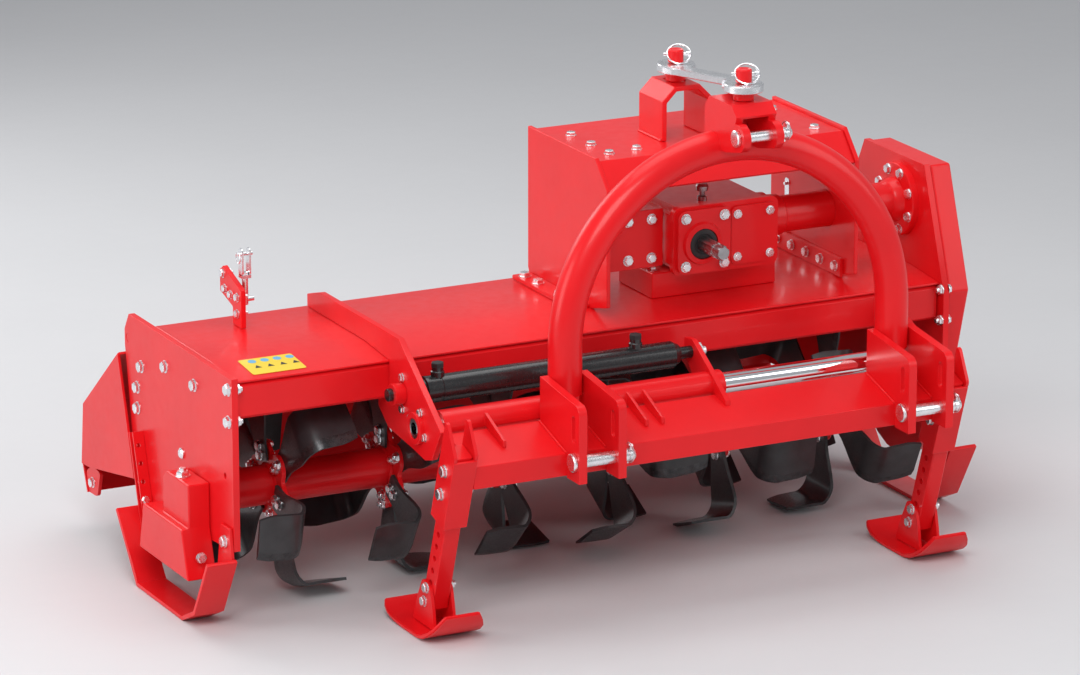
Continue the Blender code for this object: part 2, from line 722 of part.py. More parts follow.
def skid(root, side):
    """A bent runner under the end of the body with an ear at its front."""
    name = "left_skid" if side < 0 else "right_skid"
    line = [(-0.020, 0.170), (0.060, 0.034), (0.131, 0.0), SKID_HEEL, SKID_REAR]
    outline = strip(line, -SKID_PLATE)
    inner_x = HALF + GAP
    start = inner_x if side > 0 else -inner_x - SKID_WIDTH
    piece = plate(name, outline, SKID_WIDTH, (start, 0, 0))
    ear_line = [(-0.004, 0.160), (0.055, 0.050), (0.084, 0.030), (0.084, 0.100), (0.056, 0.240),
                (0.006, 0.240)]
    ear_start = inner_x if side > 0 else -inner_x - 0.008
    join(piece, plate(name + "_ear", ear_line, 0.008, (ear_start, 0, 0), ACROSS, CUTTERS))
    return red(hang(piece, root))


def skid_strap(root, side):
    """The channel with holes that sets a skid's rear end."""
    name = "left_skid_strap" if side < 0 else "right_skid_strap"
    width = 0.026
    feet = [(y, skid_upper(y) + 2 * GAP) for y in (0.432, 0.458)]
    outline = [*feet, (0.535, 0.300), (0.520, 0.325), (0.500, 0.310)]
    start = HALF + GAP if side > 0 else -HALF - GAP - width
    piece = plate(name, outline, width, (start, 0, 0))
    return red(hang(piece, root))


# ---------------------------------------------------------------- tailgate
def from_hinge(*offsets):
    """Points in Y and Z, given from the tailgate's hinge."""
    return [(TAILGATE_HINGE_Y + y, TAILGATE_HINGE_Z + z) for y, z in offsets]


def tailgate(root):
    """A bent sheet behind the rotor with a wing at each end, on a hinge rod between the side plates."""
    axis = empty("tailgate_axis", (0, TAILGATE_HINGE_Y, TAILGATE_HINGE_Z), root)
    reach = HALF + TAILGATE_SIDE_GAP
    width = 2 * (reach + TAILGATE_WING / 2)
    line = from_hinge((0.034, -0.042), (0.255, -0.222), (0.273, -0.372), (0.247, -0.437))
    sheet = plate("tailgate", strip(line, SHELL), width, (-width / 2, 0, 0))
    leaf_line = from_hinge((0, 0), (0.052, -0.0615))
    leaf_width = 2 * (INNER - 0.020)
    parts = [plate("leaf", strip(leaf_line, SHELL), leaf_width, (-leaf_width / 2, 0, 0), ACROSS, CUTTERS)]
    wing_line = from_hinge((0.034, -0.044), (0.253, -0.223), (0.270, -0.372), (0.224, -0.369),
                           (-0.048, -0.319))
    for start in (-reach - TAILGATE_WING, reach):
        parts.append(plate("wing", wing_line, TAILGATE_WING, (start, 0, 0), ACROSS, CUTTERS))
    knuckle, pin, end, tip = TAILGATE_KNUCKLE / 2, TAILGATE_PIN / 2, INNER - 0.002, HALF - 0.001
    profile = [(0, tip), (pin, tip), (pin, end), (knuckle, end), (knuckle, -end), (pin, -end), (pin, -tip),
               (0, -tip)]
    place = (0, TAILGATE_HINGE_Y, TAILGATE_HINGE_Z)
    parts.append(turned("knuckle", profile, ALONG_X, place, SMALL_ROUND, CUTTERS))
    join(sheet, *parts)
    return red(hang(sheet, axis))


# ---------------------------------------------------------------- deck bracket of the tailgate adjuster
def adjuster_bracket(root, name, x):
    foot = HOOD_TOP + GAP
    outline = [(0.352, foot), (0.400, foot), (0.400, foot + 0.040), (0.470, foot + 0.060),
               (0.470, foot + 0.110),
               (0.452, foot + 0.122), (0.352, foot + 0.088)]
    return red(hang(plate(name, outline, ADJUSTER_PLATE, (x, 0, 0)), root))


# ---------------------------------------------------------------- hitch frame
def beam_line():
    return [(HITCH_BEAM_REAR_Y, HITCH_BEAM_REAR_Z), (HITCH_BEAM_FRONT_Y, HITCH_BEAM_CREASE_Z),
            (HITCH_BEAM_FRONT_Y, HITCH_BEAM_FOOT_Z)]


def hitch_beam(frame):
    outline = strip(beam_line(), -HITCH_BEAM_PLATE)
    reach = STAND_SIZE_X / 2 + RUNNING + STAND_WALL + GAP
    left, right = STAND_X[0] + reach, STAND_X[1] - reach
    return red(hang(plate("hitch_beam", outline, right - left, (left, 0, 0)), frame))


def slope_height(y):
    """Top of the hitch beam's sloping face at y."""
    rise = HITCH_BEAM_REAR_Z - HITCH_BEAM_CREASE_Z
    return HITCH_BEAM_CREASE_Z + rise * (y - HITCH_BEAM_FRONT_Y) / (HITCH_BEAM_REAR_Y - HITCH_BEAM_FRONT_Y)


def slide_sleeve(frame):
    """The long bearing on the slide bar, with small ribs down to the beam's sloping face."""
    bore = BAR_DIAMETER / 2 + PIN_GAP
    outer = SLEEVE_DIAMETER / 2
    profile = [(outer, SLEEVE_LENGTH), (outer, 0), (bore, 0), (bore, SLEEVE_LENGTH)]
    piece = turned("slide_sleeve", profile, ALONG_X, (SLEEVE_LEFT_X, BAR_Y, BAR_Z))
    root_y = BAR_Y - outer + 0.005
    front_y = BAR_Y - 0.120
    outline = [(front_y, slope_height(front_y) + GAP), (root_y, slope_height(root_y) + GAP),
               (root_y, BAR_Z + 0.022), (front_y, slope_height(front_y) + 0.016)]
    for x in GUSSETS_X:
        join(piece, plate("gusset", outline, GUSSET_THICKNESS, (x, 0, 0), ACROSS, CUTTERS))
    return red(hang(piece, frame))


def clevis_outline():
    corner = 0.022
    front = CLEVIS_FRONT_Y
    face = HITCH_BEAM_FRONT_Y - GAP
    return [(CLEVIS_REAR_Y, slope_height(CLEVIS_REAR_Y) + 2 * GAP), (CLEVIS_REAR_Y, CLEVIS_TOP),
            *arc((front + corner, CLEVIS_TOP - 0.020 - corner), corner, 90, 180, 4),
            (front, HITCH_BEAM_FOOT_Z - 0.004), (face, HITCH_BEAM_FOOT_Z - 0.004),
            (face, HITCH_BEAM_CREASE_Z + GAP)]


def lower_clevis(frame, name, x):
    """A pair of hitch plates with the pin through them."""
    inner = ARCH_DIAMETER / 2 + GAP
    starts = (x - inner - CLEVIS_PLATE, x + inner)
    for suffix, start in zip(("outer", "inner"), starts if x < HITCH_X else starts[::-1]):
        piece = plate(f"{name}_{suffix}_plate", clevis_outline(), CLEVIS_PLATE, (start, 0, 0))
        cut(piece, hole(LOWER_PIN + 2 * GAP, 0.06, ALONG_X, (start - 0.02, LOWER_PIN_Y, LOWER_PIN_Z), 24))
        red(hang(piece, frame))
    half = inner + CLEVIS_PLATE + GAP
    head, shank = 0.021, LOWER_PIN / 2
    profile = [(0, half + 0.030), (shank, half + 0.030), (shank, -half), (head, -half), (head, -half - 0.008),
               (0, -half - 0.008)]
    pin = turned(f"{name}_pin", profile, ALONG_X, (x, LOWER_PIN_Y, LOWER_PIN_Z), 24)
    zinc(hang(pin, frame))


def arch_points(steps=28):
    reach = HITCH_SPACING / 2
    half_round = arc((0, ARCH_SPRING_Z), reach, 180, 0, steps)
    legs = [(-reach, ARCH_FOOT_Z), *half_round, (reach, ARCH_FOOT_Z)]
    return [(HITCH_X + u, ARCH_Y, v) for u, v in legs]


def hitch_arch(frame):
    return red(hang(tube("hitch_arch", arch_points(), ARCH_DIAMETER, 4), frame))


def top_fork(frame):
    """The upper hitch clevis: a U of plate standing on the arch, with a seat for the top link's pin."""
    crown = ARCH_SPRING_Z + HITCH_SPACING / 2
    outline = [(-0.140, crown), (-0.140, FORK_TOP - 0.023), (-0.160, FORK_TOP), (-0.262, FORK_TOP),
               (-0.285, FORK_TOP - 0.023), *arc((TOP_PIN_Y, TOP_PIN_Z), 0.032, 70, 240, 5), (-0.235, crown)]
    start = HITCH_X - TOP_FORK_WIDTH / 2
    piece = plate("top_fork", outline[::-1], TOP_FORK_WIDTH, (start, 0, 0))
    inner = TOP_FORK_WIDTH / 2 - TOP_FORK_PLATE
    throat = box("throat", (HITCH_X - inner, -0.400, 0.900), (HITCH_X + inner, -0.185, FORK_TOP - 0.028),
                 FLAT, CUTTERS)
    room = tube("arch_room", arch_points(), ARCH_DIAMETER + 2 * GAP, 4, CUTTERS)
    bore = hole(TOP_PIN + 2 * GAP, 0.2, ALONG_X, (HITCH_X - 0.1, TOP_PIN_Y, TOP_PIN_Z))
    link_bore = hole(LINK_PIN + 2 * PIN_GAP, 0.1, ALONG_Z, (HITCH_X, LINK_FRONT_Y, FORK_TOP - 0.05))
    cut(piece, throat, room, bore, link_bore)
    return red(hang(piece, frame))


def top_pin(frame):
    half = TOP_FORK_WIDTH / 2 + GAP
    head, shank = 0.019, TOP_PIN / 2
    profile = [(0, half + 0.032), (shank, half + 0.032), (shank, -half), (head, -half), (head, -half - 0.008),
               (0, -half - 0.008)]
    return zinc(hang(turned("top_pin", profile, ALONG_X, (HITCH_X, TOP_PIN_Y, TOP_PIN_Z), 24), frame))


def cylinder_barrel(frame):
    radius, bore = BARREL_DIAMETER / 2, BARREL_DIAMETER / 2 - BARREL_WALL
    gland = ROD_DIAMETER / 2 + PIN_GAP
    length = BARREL_LENGTH
    stem = LUG_X - GAP - BARREL_LEFT_X
    profile = [(0, stem), (0.014, stem), (0.014, length + 0.014), (0.022, length + 0.014), (radius, length),
               (radius, 0), (gland, 0), (gland, 0.030), (bore, 0.030), (bore, length - 0.020),
               (0, length - 0.020)]
    piece = turned("cylinder_barrel", profile, ALONG_X, (BARREL_LEFT_X, CYLINDER_Y, CYLINDER_Z))
    for x in (BARREL_LEFT_X + 0.048, BARREL_LEFT_X + 0.538):
        foot = CYLINDER_Z + radius - 0.005
        join(piece, rod("port", 0.024, 0.034, ALONG_Z, (x, CYLINDER_Y, foot), SMALL_ROUND, CUTTERS))
    return black(hang(piece, frame))


def cylinder_lug(frame):
    sleeve, back = SLEEVE_DIAMETER / 2, HITCH_BEAM_REAR_Y + 0.005
    outline = [(CYLINDER_Y + 0.030, CYLINDER_Z - 0.010), (CYLINDER_Y + 0.030, CYLINDER_Z + 0.026),
               (CYLINDER_Y - 0.006, CYLINDER_Z + 0.030), (BAR_Y - 0.005, BAR_Z + sleeve + 0.010),
               (-0.215, slope_height(-0.215) + 0.012), (-0.215, slope_height(-0.215) + GAP),
               (back, slope_height(back) + GAP), (back, BAR_Z - 0.03),
               (BAR_Y + 0.02, BAR_Z - sleeve - 0.008)]
    piece = plate("cylinder_lug", outline[::-1], LUG_THICKNESS, (LUG_X, 0, 0))
    start = (LUG_X - 0.02, BAR_Y, BAR_Z)
    cut(piece, rod("clear", SLEEVE_DIAMETER + 2 * GAP, 0.05, ALONG_X, start, ROUND, CUTTERS))
    return red(hang(piece, frame))


# ---------------------------------------------------------------- parking stands
def stand_axis_matrix(x):
    """Local z runs up the stand's slope, from the top of its guide."""
    lean = Matrix.Rotation(atan2(STAND_SLOPE, 1.0), 4, "X")
    return Matrix.Translation((x, STAND_TOP_Y, STAND_TOP_Z)) @ lean


def stand_guide(frame, name, x):
    """The square guide on the end of the hitch beam that a stand's leg slides in."""
    matrix = stand_axis_matrix(x)
    clear_x, clear_y = STAND_SIZE_X / 2 + RUNNING, STAND_SIZE_Y / 2 + RUNNING
    out_x, out_y = clear_x + STAND_WALL, clear_y + STAND_WALL
    piece = box(name, (-out_x, -out_y, -0.180), (out_x, out_y, -0.005))
    throat = box("throat", (-clear_x, -clear_y, -0.3), (clear_x, clear_y, 0.1), FLAT, CUTTERS)
    for shape in (piece, throat):
        shape.matrix_world = matrix @ shape.matrix_world
    cut(piece, throat)
    return red(hang(piece, frame))


def stand(frame, name, x):
    matrix = stand_axis_matrix(x)
    axis = empty(name + "_axis", (x, STAND_TOP_Y, STAND_TOP_Z), frame)
    foot_z = 0.030
    length = (STAND_TOP_Z - foot_z) / cos(atan2(STAND_SLOPE, 1.0))
    half_x, half_y = STAND_SIZE_X / 2, STAND_SIZE_Y / 2
    leg = box(name, (-half_x, -half_y, -length), (half_x, half_y, 0))
    leg.matrix_world = matrix @ leg.matrix_world
    ankle = STAND_TOP_Y + STAND_SLOPE * (STAND_TOP_Z - foot_z)
    shoe_line = [(ankle - 0.150, 0.070), (ankle - 0.110, 0.020), (ankle - 0.060, 0.0), (ankle + 0.030, 0.0),
                 (ankle + 0.090, 0.006), (ankle + 0.135, 0.026)]
    corner = (x - SHOE_WIDTH / 2, 0, 0)
    shoe = plate("shoe", strip(shoe_line, -SHOE_PLATE), SHOE_WIDTH, corner, ACROSS, CUTTERS)
    web_line = [(ankle - 0.080, 0.005), (ankle + 0.060, 0.005), (ankle + 0.050, 0.050),
                (ankle - 0.050, 0.060)]
    web = plate("web", web_line, 0.052, (x - 0.026, 0, 0), ACROSS, CUTTERS)
    join(leg, web, shoe)
    return red(hang(leg, axis))


# ---------------------------------------------------------------- top link
def link_ends():
    """Middle of the link's thickness at its front and rear pins."""
    lift = Vector((0, 0, LINK_THICKNESS / 2))
    return (Vector((HITCH_X, LINK_FRONT_Y, LINK_FRONT_Z)) + lift,
            Vector((LINK_REAR_X, LINK_REAR_Y, LINK_REAR_Z)) + lift)


def top_link(frame):
    """A flat bar with a level eye at each end, its front pin in the fork."""
    front, rear = link_ends()
    axis = empty("top_link_axis", front, frame)
    run = rear - front
    rise = atan2(run.z, hypot(run.x, run.y))
    turn = Matrix.Rotation(atan2(-run.x, run.y), 4, "Z") @ Matrix.Rotation(rise, 4, "X")
    half = Vector((LINK_WIDTH, run.length - 0.060, LINK_THICKNESS)) / 2
    middle = (front + rear) / 2
    bar = box("top_link", middle - half, middle + half, turn)
    seats = []
    for end in (front, rear):
        foot = end - Vector((0, 0, LINK_THICKNESS / 2 + 0.0005))
        join(bar, rod("eye", LINK_EYE, LINK_THICKNESS + 0.001, ALONG_Z, foot, ROUND, CUTTERS))
        seats.append(hole(LINK_PIN + 2 * GAP, 0.1, ALONG_Z, end - Vector((0, 0, 0.05))))
    cut(bar, *seats)
    zinc(hang(bar, axis))
    link_pin("link_front_pin", axis, front, FORK_TOP)
    link_pin("link_rear_pin", axis, rear, LINK_BRACKET_TOP)


def link_pin(name, axis, eye, seat_z):
    """A vertical pin: head over the link, collar down to the plate below, and shank through that plate."""
    shank, head, collar = LINK_PIN / 2, 0.018, 0.023
    top = LINK_THICKNESS / 2 + 0.002
    foot = seat_z + 2 * GAP - eye.z
    profile = [(0, top + 0.030), (head, top + 0.030), (head, top), (shank, top), (shank, -top),
               (collar, -top),
               (collar, foot), (shank, foot), (shank, foot - 0.024), (0, foot - 0.024)]
    return red(hang(turned(name, profile, ALONG_Z, eye, SMALL_ROUND), axis))


# ---------------------------------------------------------------- whole machine
def build():
    root = empty("machine")
    for make in (hood_deck, left_side_plate, right_side_plate, gear_case, front_beam, left_rib,
                 right_bar_bracket, slide_bar, cylinder_rod, rod_clamp, headstock_plates, headstock_top,
                 link_bracket, gearbox, gearbox_cover, shaft_seal, gearbox_base, gearbox_plate,
                 drive_tube, pto_shaft, bearing_guard, build_rotor, tailgate):
        make(root)
    for side in (-1, 1):
        skid(root, side)
        skid_strap(root, side)
    for name, x in (("left", -ADJUSTER_X), ("right", ADJUSTER_X - ADJUSTER_PLATE)):
        adjuster_bracket(root, name + "_adjuster_bracket", x)

    frame = empty("shift_frame", (0, 0, 0), root)
    for make in (hitch_beam, slide_sleeve, hitch_arch, top_fork, top_pin, cylinder_barrel, cylinder_lug,
                 top_link):
        make(frame)
    for name, side in (("left_clevis", -1), ("right_clevis", 1)):
        lower_clevis(frame, name, HITCH_X + side * HITCH_SPACING / 2)
    for name, x in zip(("left", "right"), STAND_X):
        stand_guide(frame, name + "_stand_guide", x)
        stand(frame, name + "_stand", x)
    centre_depth(root)


def centre_depth(root):
    """Moves the machine along Y so that the middle of its bounding box is over the origin."""
    bpy.context.view_layer.update()
    view = bpy.context.evaluated_depsgraph_get()
    depths = []
    for piece in PARTS.objects:
        if piece.type == "MESH":
            shown = piece.evaluated_get(view)
            depths += [(shown.matrix_world @ corner.co).y for corner in shown.to_mesh().vertices]
            shown.to_mesh_clear()
    root.location.y = -(min(depths) + max(depths)) / 2
    bpy.context.view_layer.update()


build()
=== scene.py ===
"""Looks of the rotary tiller: paint, steel, blades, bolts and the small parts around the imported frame.

Metres, +Z up. Places are written from the front edge of the side plates (y = 0), from the middle of
the working width (x = 0) and from the ground (z = 0), and at() turns them into the row frame.
"""

import json
from math import atan2, cos, hypot, pi, radians, sin, sqrt

import bmesh
import bpy
from mathutils import Matrix, Vector

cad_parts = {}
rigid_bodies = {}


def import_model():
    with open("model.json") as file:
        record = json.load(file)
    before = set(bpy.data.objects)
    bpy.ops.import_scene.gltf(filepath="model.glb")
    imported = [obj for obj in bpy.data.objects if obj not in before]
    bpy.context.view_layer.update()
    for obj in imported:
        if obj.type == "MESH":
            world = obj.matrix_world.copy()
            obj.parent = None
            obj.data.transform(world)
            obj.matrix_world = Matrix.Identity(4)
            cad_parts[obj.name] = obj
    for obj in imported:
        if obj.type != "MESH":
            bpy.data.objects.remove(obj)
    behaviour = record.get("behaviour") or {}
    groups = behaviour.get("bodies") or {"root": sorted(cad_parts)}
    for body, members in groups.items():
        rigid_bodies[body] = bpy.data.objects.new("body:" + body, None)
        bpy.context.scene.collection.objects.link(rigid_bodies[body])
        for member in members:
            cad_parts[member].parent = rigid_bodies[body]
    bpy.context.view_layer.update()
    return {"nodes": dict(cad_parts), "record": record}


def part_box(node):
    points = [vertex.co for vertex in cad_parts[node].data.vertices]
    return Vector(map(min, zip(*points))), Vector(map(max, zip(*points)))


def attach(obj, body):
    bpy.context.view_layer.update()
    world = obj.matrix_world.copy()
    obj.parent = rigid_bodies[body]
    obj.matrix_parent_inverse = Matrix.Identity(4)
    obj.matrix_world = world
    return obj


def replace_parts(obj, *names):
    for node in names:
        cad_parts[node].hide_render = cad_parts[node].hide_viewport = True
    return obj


for old in list(bpy.data.objects):
    bpy.data.objects.remove(old, do_unlink=True)

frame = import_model()

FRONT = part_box("left_side_plate")[0][1]      # the front edge of the side plates in the row frame
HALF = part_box("right_side_plate")[1][0]      # outer face of the right side plate
HOOD_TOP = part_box("hood_deck")[1][2]

ALONG_X = Matrix.Rotation(pi / 2, 4, "Y")
LEFT, RIGHT = (-1, 0, 0), (1, 0, 0)
FORWARD, BACK, UP = (0, -1, 0), (0, 1, 0), (0, 0, 1)


def at(x, y, z):
    """A place given from the front edge of the side plates, in the row frame."""
    return Vector((x, FRONT + y, z))


def middle(node):
    low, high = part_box(node)
    return (Vector(low) + Vector(high)) / 2


# ---------------------------------------------------------------- materials
def material(name, colour, roughness, metallic=0.0, coat=0.0, shade=0.12, grain=18.0, bump=0.0,
             bump_scale=900.0, stretch=(1, 1, 1), scuff=0.08, specular=0.5):
    """A surface whose colour, roughness and fine bump come from noise."""
    skin = bpy.data.materials.new(name)
    skin.use_nodes = True
    nodes, links = skin.node_tree.nodes, skin.node_tree.links
    shader = nodes["Principled BSDF"]
    shader.inputs["Metallic"].default_value = metallic
    shader.inputs["Coat Weight"].default_value = coat
    shader.inputs["Coat Roughness"].default_value = 0.06
    shader.inputs["Specular IOR Level"].default_value = specular
    place = nodes.new("ShaderNodeTexCoord")
    spread = nodes.new("ShaderNodeMapping")
    spread.inputs["Scale"].default_value = stretch
    links.new(place.outputs["Object"], spread.inputs["Vector"])

    def noise(scale, detail):
        texture = nodes.new("ShaderNodeTexNoise")
        texture.inputs["Scale"].default_value = scale
        texture.inputs["Detail"].default_value = detail
        links.new(spread.outputs["Vector"], texture.inputs["Vector"])
        return texture.outputs["Fac"]

    broad = noise(grain, 5.0)
    tint = nodes.new("ShaderNodeValToRGB")
    tint.color_ramp.elements[0].position = 0.30
    tint.color_ramp.elements[1].position = 0.72
    tint.color_ramp.elements[0].color = (*[c * (1 - shade) for c in colour], 1)
    tint.color_ramp.elements[1].color = (*[min(c * (1 + shade), 1) for c in colour], 1)
    links.new(broad, tint.inputs["Fac"])
    links.new(tint.outputs["Color"], shader.inputs["Base Color"])

    fine = noise(grain * 9, 6.0)
    dull = nodes.new("ShaderNodeMapRange")
    dull.inputs["From Min"].default_value = 0.35
    dull.inputs["From Max"].default_value = 0.75
    dull.inputs["To Min"].default_value = max(roughness - scuff / 2, 0.03)
    dull.inputs["To Max"].default_value = roughness + scuff
    links.new(fine, dull.inputs["Value"])
    links.new(dull.outputs["Result"], shader.inputs["Roughness"])

    if bump:
        rough = noise(bump_scale, 3.0)
        relief = nodes.new("ShaderNodeBump")
        relief.inputs["Strength"].default_value = bump
        relief.inputs["Distance"].default_value = 0.0006
        links.new(rough, relief.inputs["Height"])
        links.new(relief.outputs["Normal"], shader.inputs["Normal"])
    return skin


RED = material("red_paint", (0.78, 0.008, 0.012), 0.32, coat=0.12, shade=0.06, grain=5, bump=0.03,
               bump_scale=420, scuff=0.05, specular=0.28)
BLACK = material("cylinder_black", (0.012, 0.012, 0.013), 0.24, coat=0.3, shade=0.2, bump=0.05)
BLADE = material("blade_black", (0.028, 0.029, 0.031), 0.36, coat=0.15, shade=0.30, grain=30, bump=0.18,
                 bump_scale=500, scuff=0.16)
ZINC = material("zinc_plate", (0.86, 0.87, 0.89), 0.26, metallic=1.0, shade=0.10, grain=60, bump=0.08,
                scuff=0.14)
CHROME = material("hard_chrome", (0.88, 0.89, 0.91), 0.06, metallic=1.0, shade=0.02, scuff=0.04)
STEEL = material("machined_steel", (0.42, 0.42, 0.43), 0.30, metallic=1.0, shade=0.15, grain=40, bump=0.15,
                 stretch=(1, 6, 1))
EDGE = material("ground_edge", (0.060, 0.060, 0.062), 0.30, metallic=0.7, shade=0.35, grain=70, bump=0.15)
RUBBER = material("seal_rubber", (0.016, 0.016, 0.017), 0.55, shade=0.2, bump=0.2)
YELLOW = material("decal_yellow", (0.86, 0.62, 0.030), 0.34, coat=0.3, shade=0.04)
PALE_BLUE = material("label_blue", (0.14, 0.42, 0.68), 0.34, coat=0.3, shade=0.04)
DARK = material("label_black", (0.03, 0.03, 0.03), 0.40, shade=0.1)


# ---------------------------------------------------------------- making pieces
def body_of(node):
    for name, members in frame["record"]["behaviour"]["bodies"].items():
        if node in members:
            return name
    raise ValueError(node)


def put(name, shape, node, skins, sharp=32):
    """A bmesh becomes a smooth piece that rides with a CAD node and wears the skins it is given."""
    mesh = bpy.data.meshes.new(name)
    bmesh.ops.recalc_face_normals(shape, faces=shape.faces)
    shape.to_mesh(mesh)
    shape.free()
    mesh.shade_smooth()
    mesh.set_sharp_from_angle(angle=radians(sharp))
    for skin in skins:
        mesh.materials.append(skin)
    piece = bpy.data.objects.new(name, mesh)
    bpy.context.scene.collection.objects.link(piece)
    even = piece.modifiers.new("even_normals", "WEIGHTED_NORMAL")
    even.keep_sharp = True
    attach(piece, body_of(node))
    return piece


def replace_node(name, shape, node, skins, sharp=32):
    """A piece that is seen in place of its CAD node."""
    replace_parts(put(name, shape, node, skins, sharp), node)


def add_prism(shape, outline, thickness, matrix, skin=0):
    """An outline in the matrix's X and Y, thick along its Z, centred on it."""
    low = [shape.verts.new(matrix @ Vector((u, v, -thickness / 2))) for u, v in outline]
    high = [shape.verts.new(matrix @ Vector((u, v, thickness / 2))) for u, v in outline]
    faces = [shape.faces.new(low[::-1]), shape.faces.new(high)]
    count = len(outline)
    for k in range(count):
        faces.append(shape.faces.new((low[k], low[(k + 1) % count], high[(k + 1) % count], high[k])))
    for face in faces:
        face.material_index = skin


def add_box(shape, low, high):
    """A box between two corners in the row frame."""
    half = (Vector(high) - Vector(low)) / 2
    place = Matrix.Translation((Vector(high) + Vector(low)) / 2)
    add_prism(shape, rectangle(-half.x, -half.y, half.x, half.y), 2 * half.z, place)


def add_lathe(shape, profile, matrix, sides=32, skin=0):
    """Turns a profile of (radius, height) about the matrix's Z."""
    rings = []
    for radius, height in profile:
        if radius < 1e-6:
            rings.append([shape.verts.new(matrix @ Vector((0, 0, height)))])
            continue
        turns = [2 * pi * k / sides for k in range(sides)]
        rings.append([shape.verts.new(matrix @ Vector((radius * cos(t), radius * sin(t), height)))
                      for t in turns])
    pairs = list(zip(rings, rings[1:]))
    if profile[0][0] > 1e-6 and profile[-1][0] > 1e-6:
        pairs.append((rings[-1], rings[0]))
    for first, second in pairs:
        for k in range(sides):
            after = (k + 1) % sides
            corners = [first[k % len(first)], first[after % len(first)], second[after % len(second)],
                       second[k % len(second)]]
            corners = list(dict.fromkeys(corners))
            if len(corners) > 2:
                shape.faces.new(corners).material_index = skin


def add_tube(shape, points, radius, sides=16, closed=False):
    """A round bar along a path."""
    points = [Vector(p) for p in points]
    count = len(points)
    rings = []
    up = None
    for k, point in enumerate(points):
        before = points[(k - 1) % count] if closed or k else point
        after = points[(k + 1) % count] if closed or k < count - 1 else point
        along = (after - before).normalized()
        if up is None:
            up = along.orthogonal().normalized()
        up = (up - along * up.dot(along)).normalized()
        side = along.cross(up)
        rings.append([shape.verts.new(point + radius * (cos(t) * up + sin(t) * side))
                      for t in (2 * pi * j / sides for j in range(sides))])
    pairs = list(zip(rings, rings[1:] + ([rings[0]] if closed else [])))
    for first, second in pairs:
        for j in range(sides):
            after = (j + 1) % sides
            shape.faces.new((first[j], first[after], second[after], second[j]))
    if not closed:
        shape.faces.new(rings[0][::-1])
        shape.faces.new(rings[-1])


def bridge(shape, rings, edge=None):
    """Skins rings of corners and closes both ends. The faces along one edge have the second skin."""
    count = len(rings[0])
    for first, second in zip(rings, rings[1:]):
        for k in range(count):
            after = (k + 1) % count
            face = shape.faces.new((first[k], first[after], second[after], second[k]))
            if k == edge:
                face.material_index = 1
    shape.faces.new(rings[0][::-1])
    shape.faces.new(rings[-1])


def rectangle(left, bottom, right, top):
    return [(left, bottom), (right, bottom), (right, top), (left, top)]


def rod(radius, low, high):
    """The profile of a plain round bar between two heights."""
    return [(0, low), (radius, low), (radius, high), (0, high)]


def rounded(outline, radius, steps=4):
    """Rounds the corners of a closed outline."""
    result = []
    count = len(outline)
    for k in range(count):
        corner = Vector(outline[k])
        before = Vector(outline[k - 1]) - corner
        after = Vector(outline[(k + 1) % count]) - corner
        reach = min(radius, before.length * 0.45, after.length * 0.45)
        first, last = corner + before.normalized() * reach, corner + after.normalized() * reach
        for j in range(steps + 1):
            t = j / steps
            result.append(tuple((1 - t) ** 2 * first + 2 * t * (1 - t) * corner + t * t * last))
    return result


def arc(centre, radius, first, last, steps):
    turns = [radians(first + (last - first) * k / steps) for k in range(steps + 1)]
    return [(centre[0] + radius * cos(t), centre[1] + radius * sin(t)) for t in turns]


def facing(place, normal):
    """A frame at place whose Z is the normal."""
    turn = Vector(UP).rotation_difference(Vector(normal).normalized())
    return Matrix.Translation(place) @ turn.to_matrix().to_4x4()


def side_on(x, y=0.0, z=0.0):
    """A frame whose X runs to the back, whose Y runs up and whose Z runs to the right."""
    return Matrix(((0, 0, 1, x), (1, 0, 0, y), (0, 1, 0, z), (0, 0, 0, 1)))


def front_on(y):
    """A frame whose X runs to the right, whose Y runs up and whose Z runs to the front."""
    return Matrix(((1, 0, 0, 0), (0, 0, -1, y), (0, 1, 0, 0), (0, 0, 0, 1)))


def carve(shape, cutters=None, width=0.0, segments=2):
    """Drills a bmesh with another and rounds its edges."""
    helpers = []
    for name, part in (("work", shape), ("drill", cutters)):
        if part is None:
            continue
        bmesh.ops.recalc_face_normals(part, faces=part.faces)
        mesh = bpy.data.meshes.new(name)
        part.to_mesh(mesh)
        part.free()
        helpers.append(bpy.data.objects.new(name, mesh))
        bpy.context.scene.collection.objects.link(helpers[-1])
    work = helpers[0]
    if cutters is not None:
        change = work.modifiers.new("drill", "BOOLEAN")
        change.object = helpers[1]
        change.solver = "EXACT"
    if width:
        bevel = work.modifiers.new("edges", "BEVEL")
        bevel.width = width
        bevel.segments = segments
        bevel.limit_method = "ANGLE"
        bevel.angle_limit = radians(38)
        bevel.miter_outer = "MITER_ARC"
    bpy.context.view_layer.update()
    done = bpy.data.meshes.new_from_object(work.evaluated_get(bpy.context.evaluated_depsgraph_get()))
    for helper in helpers:
        bpy.data.objects.remove(helper, do_unlink=True)
    result = bmesh.new()
    result.from_mesh(done)
    for face in result.faces:
        face.material_index = 0
    return result


def rework(node, skin, width=0.0015, segments=2, cutters=None):
    """A CAD node with its edges rounded, and drilled where cutters (a bmesh) say."""
    shape = bmesh.new()
    shape.from_mesh(frame["nodes"][node].data)
    bmesh.ops.remove_doubles(shape, verts=shape.verts, dist=1e-6)
    bmesh.ops.dissolve_limit(shape, angle_limit=radians(0.5), verts=shape.verts, edges=shape.edges)
    result = carve(shape, cutters, width, segments)
    replace_node(f"{node}_painted", result, node, [skin])


def turn_node(name, node, profile, place, skin, sides=48):
    """A turned piece along X, with its profile's start at place, in place of its CAD node."""
    shape = bmesh.new()
    add_lathe(shape, profile, Matrix.Translation(place) @ ALONG_X, sides)
    replace_node(name, shape, node, [skin])


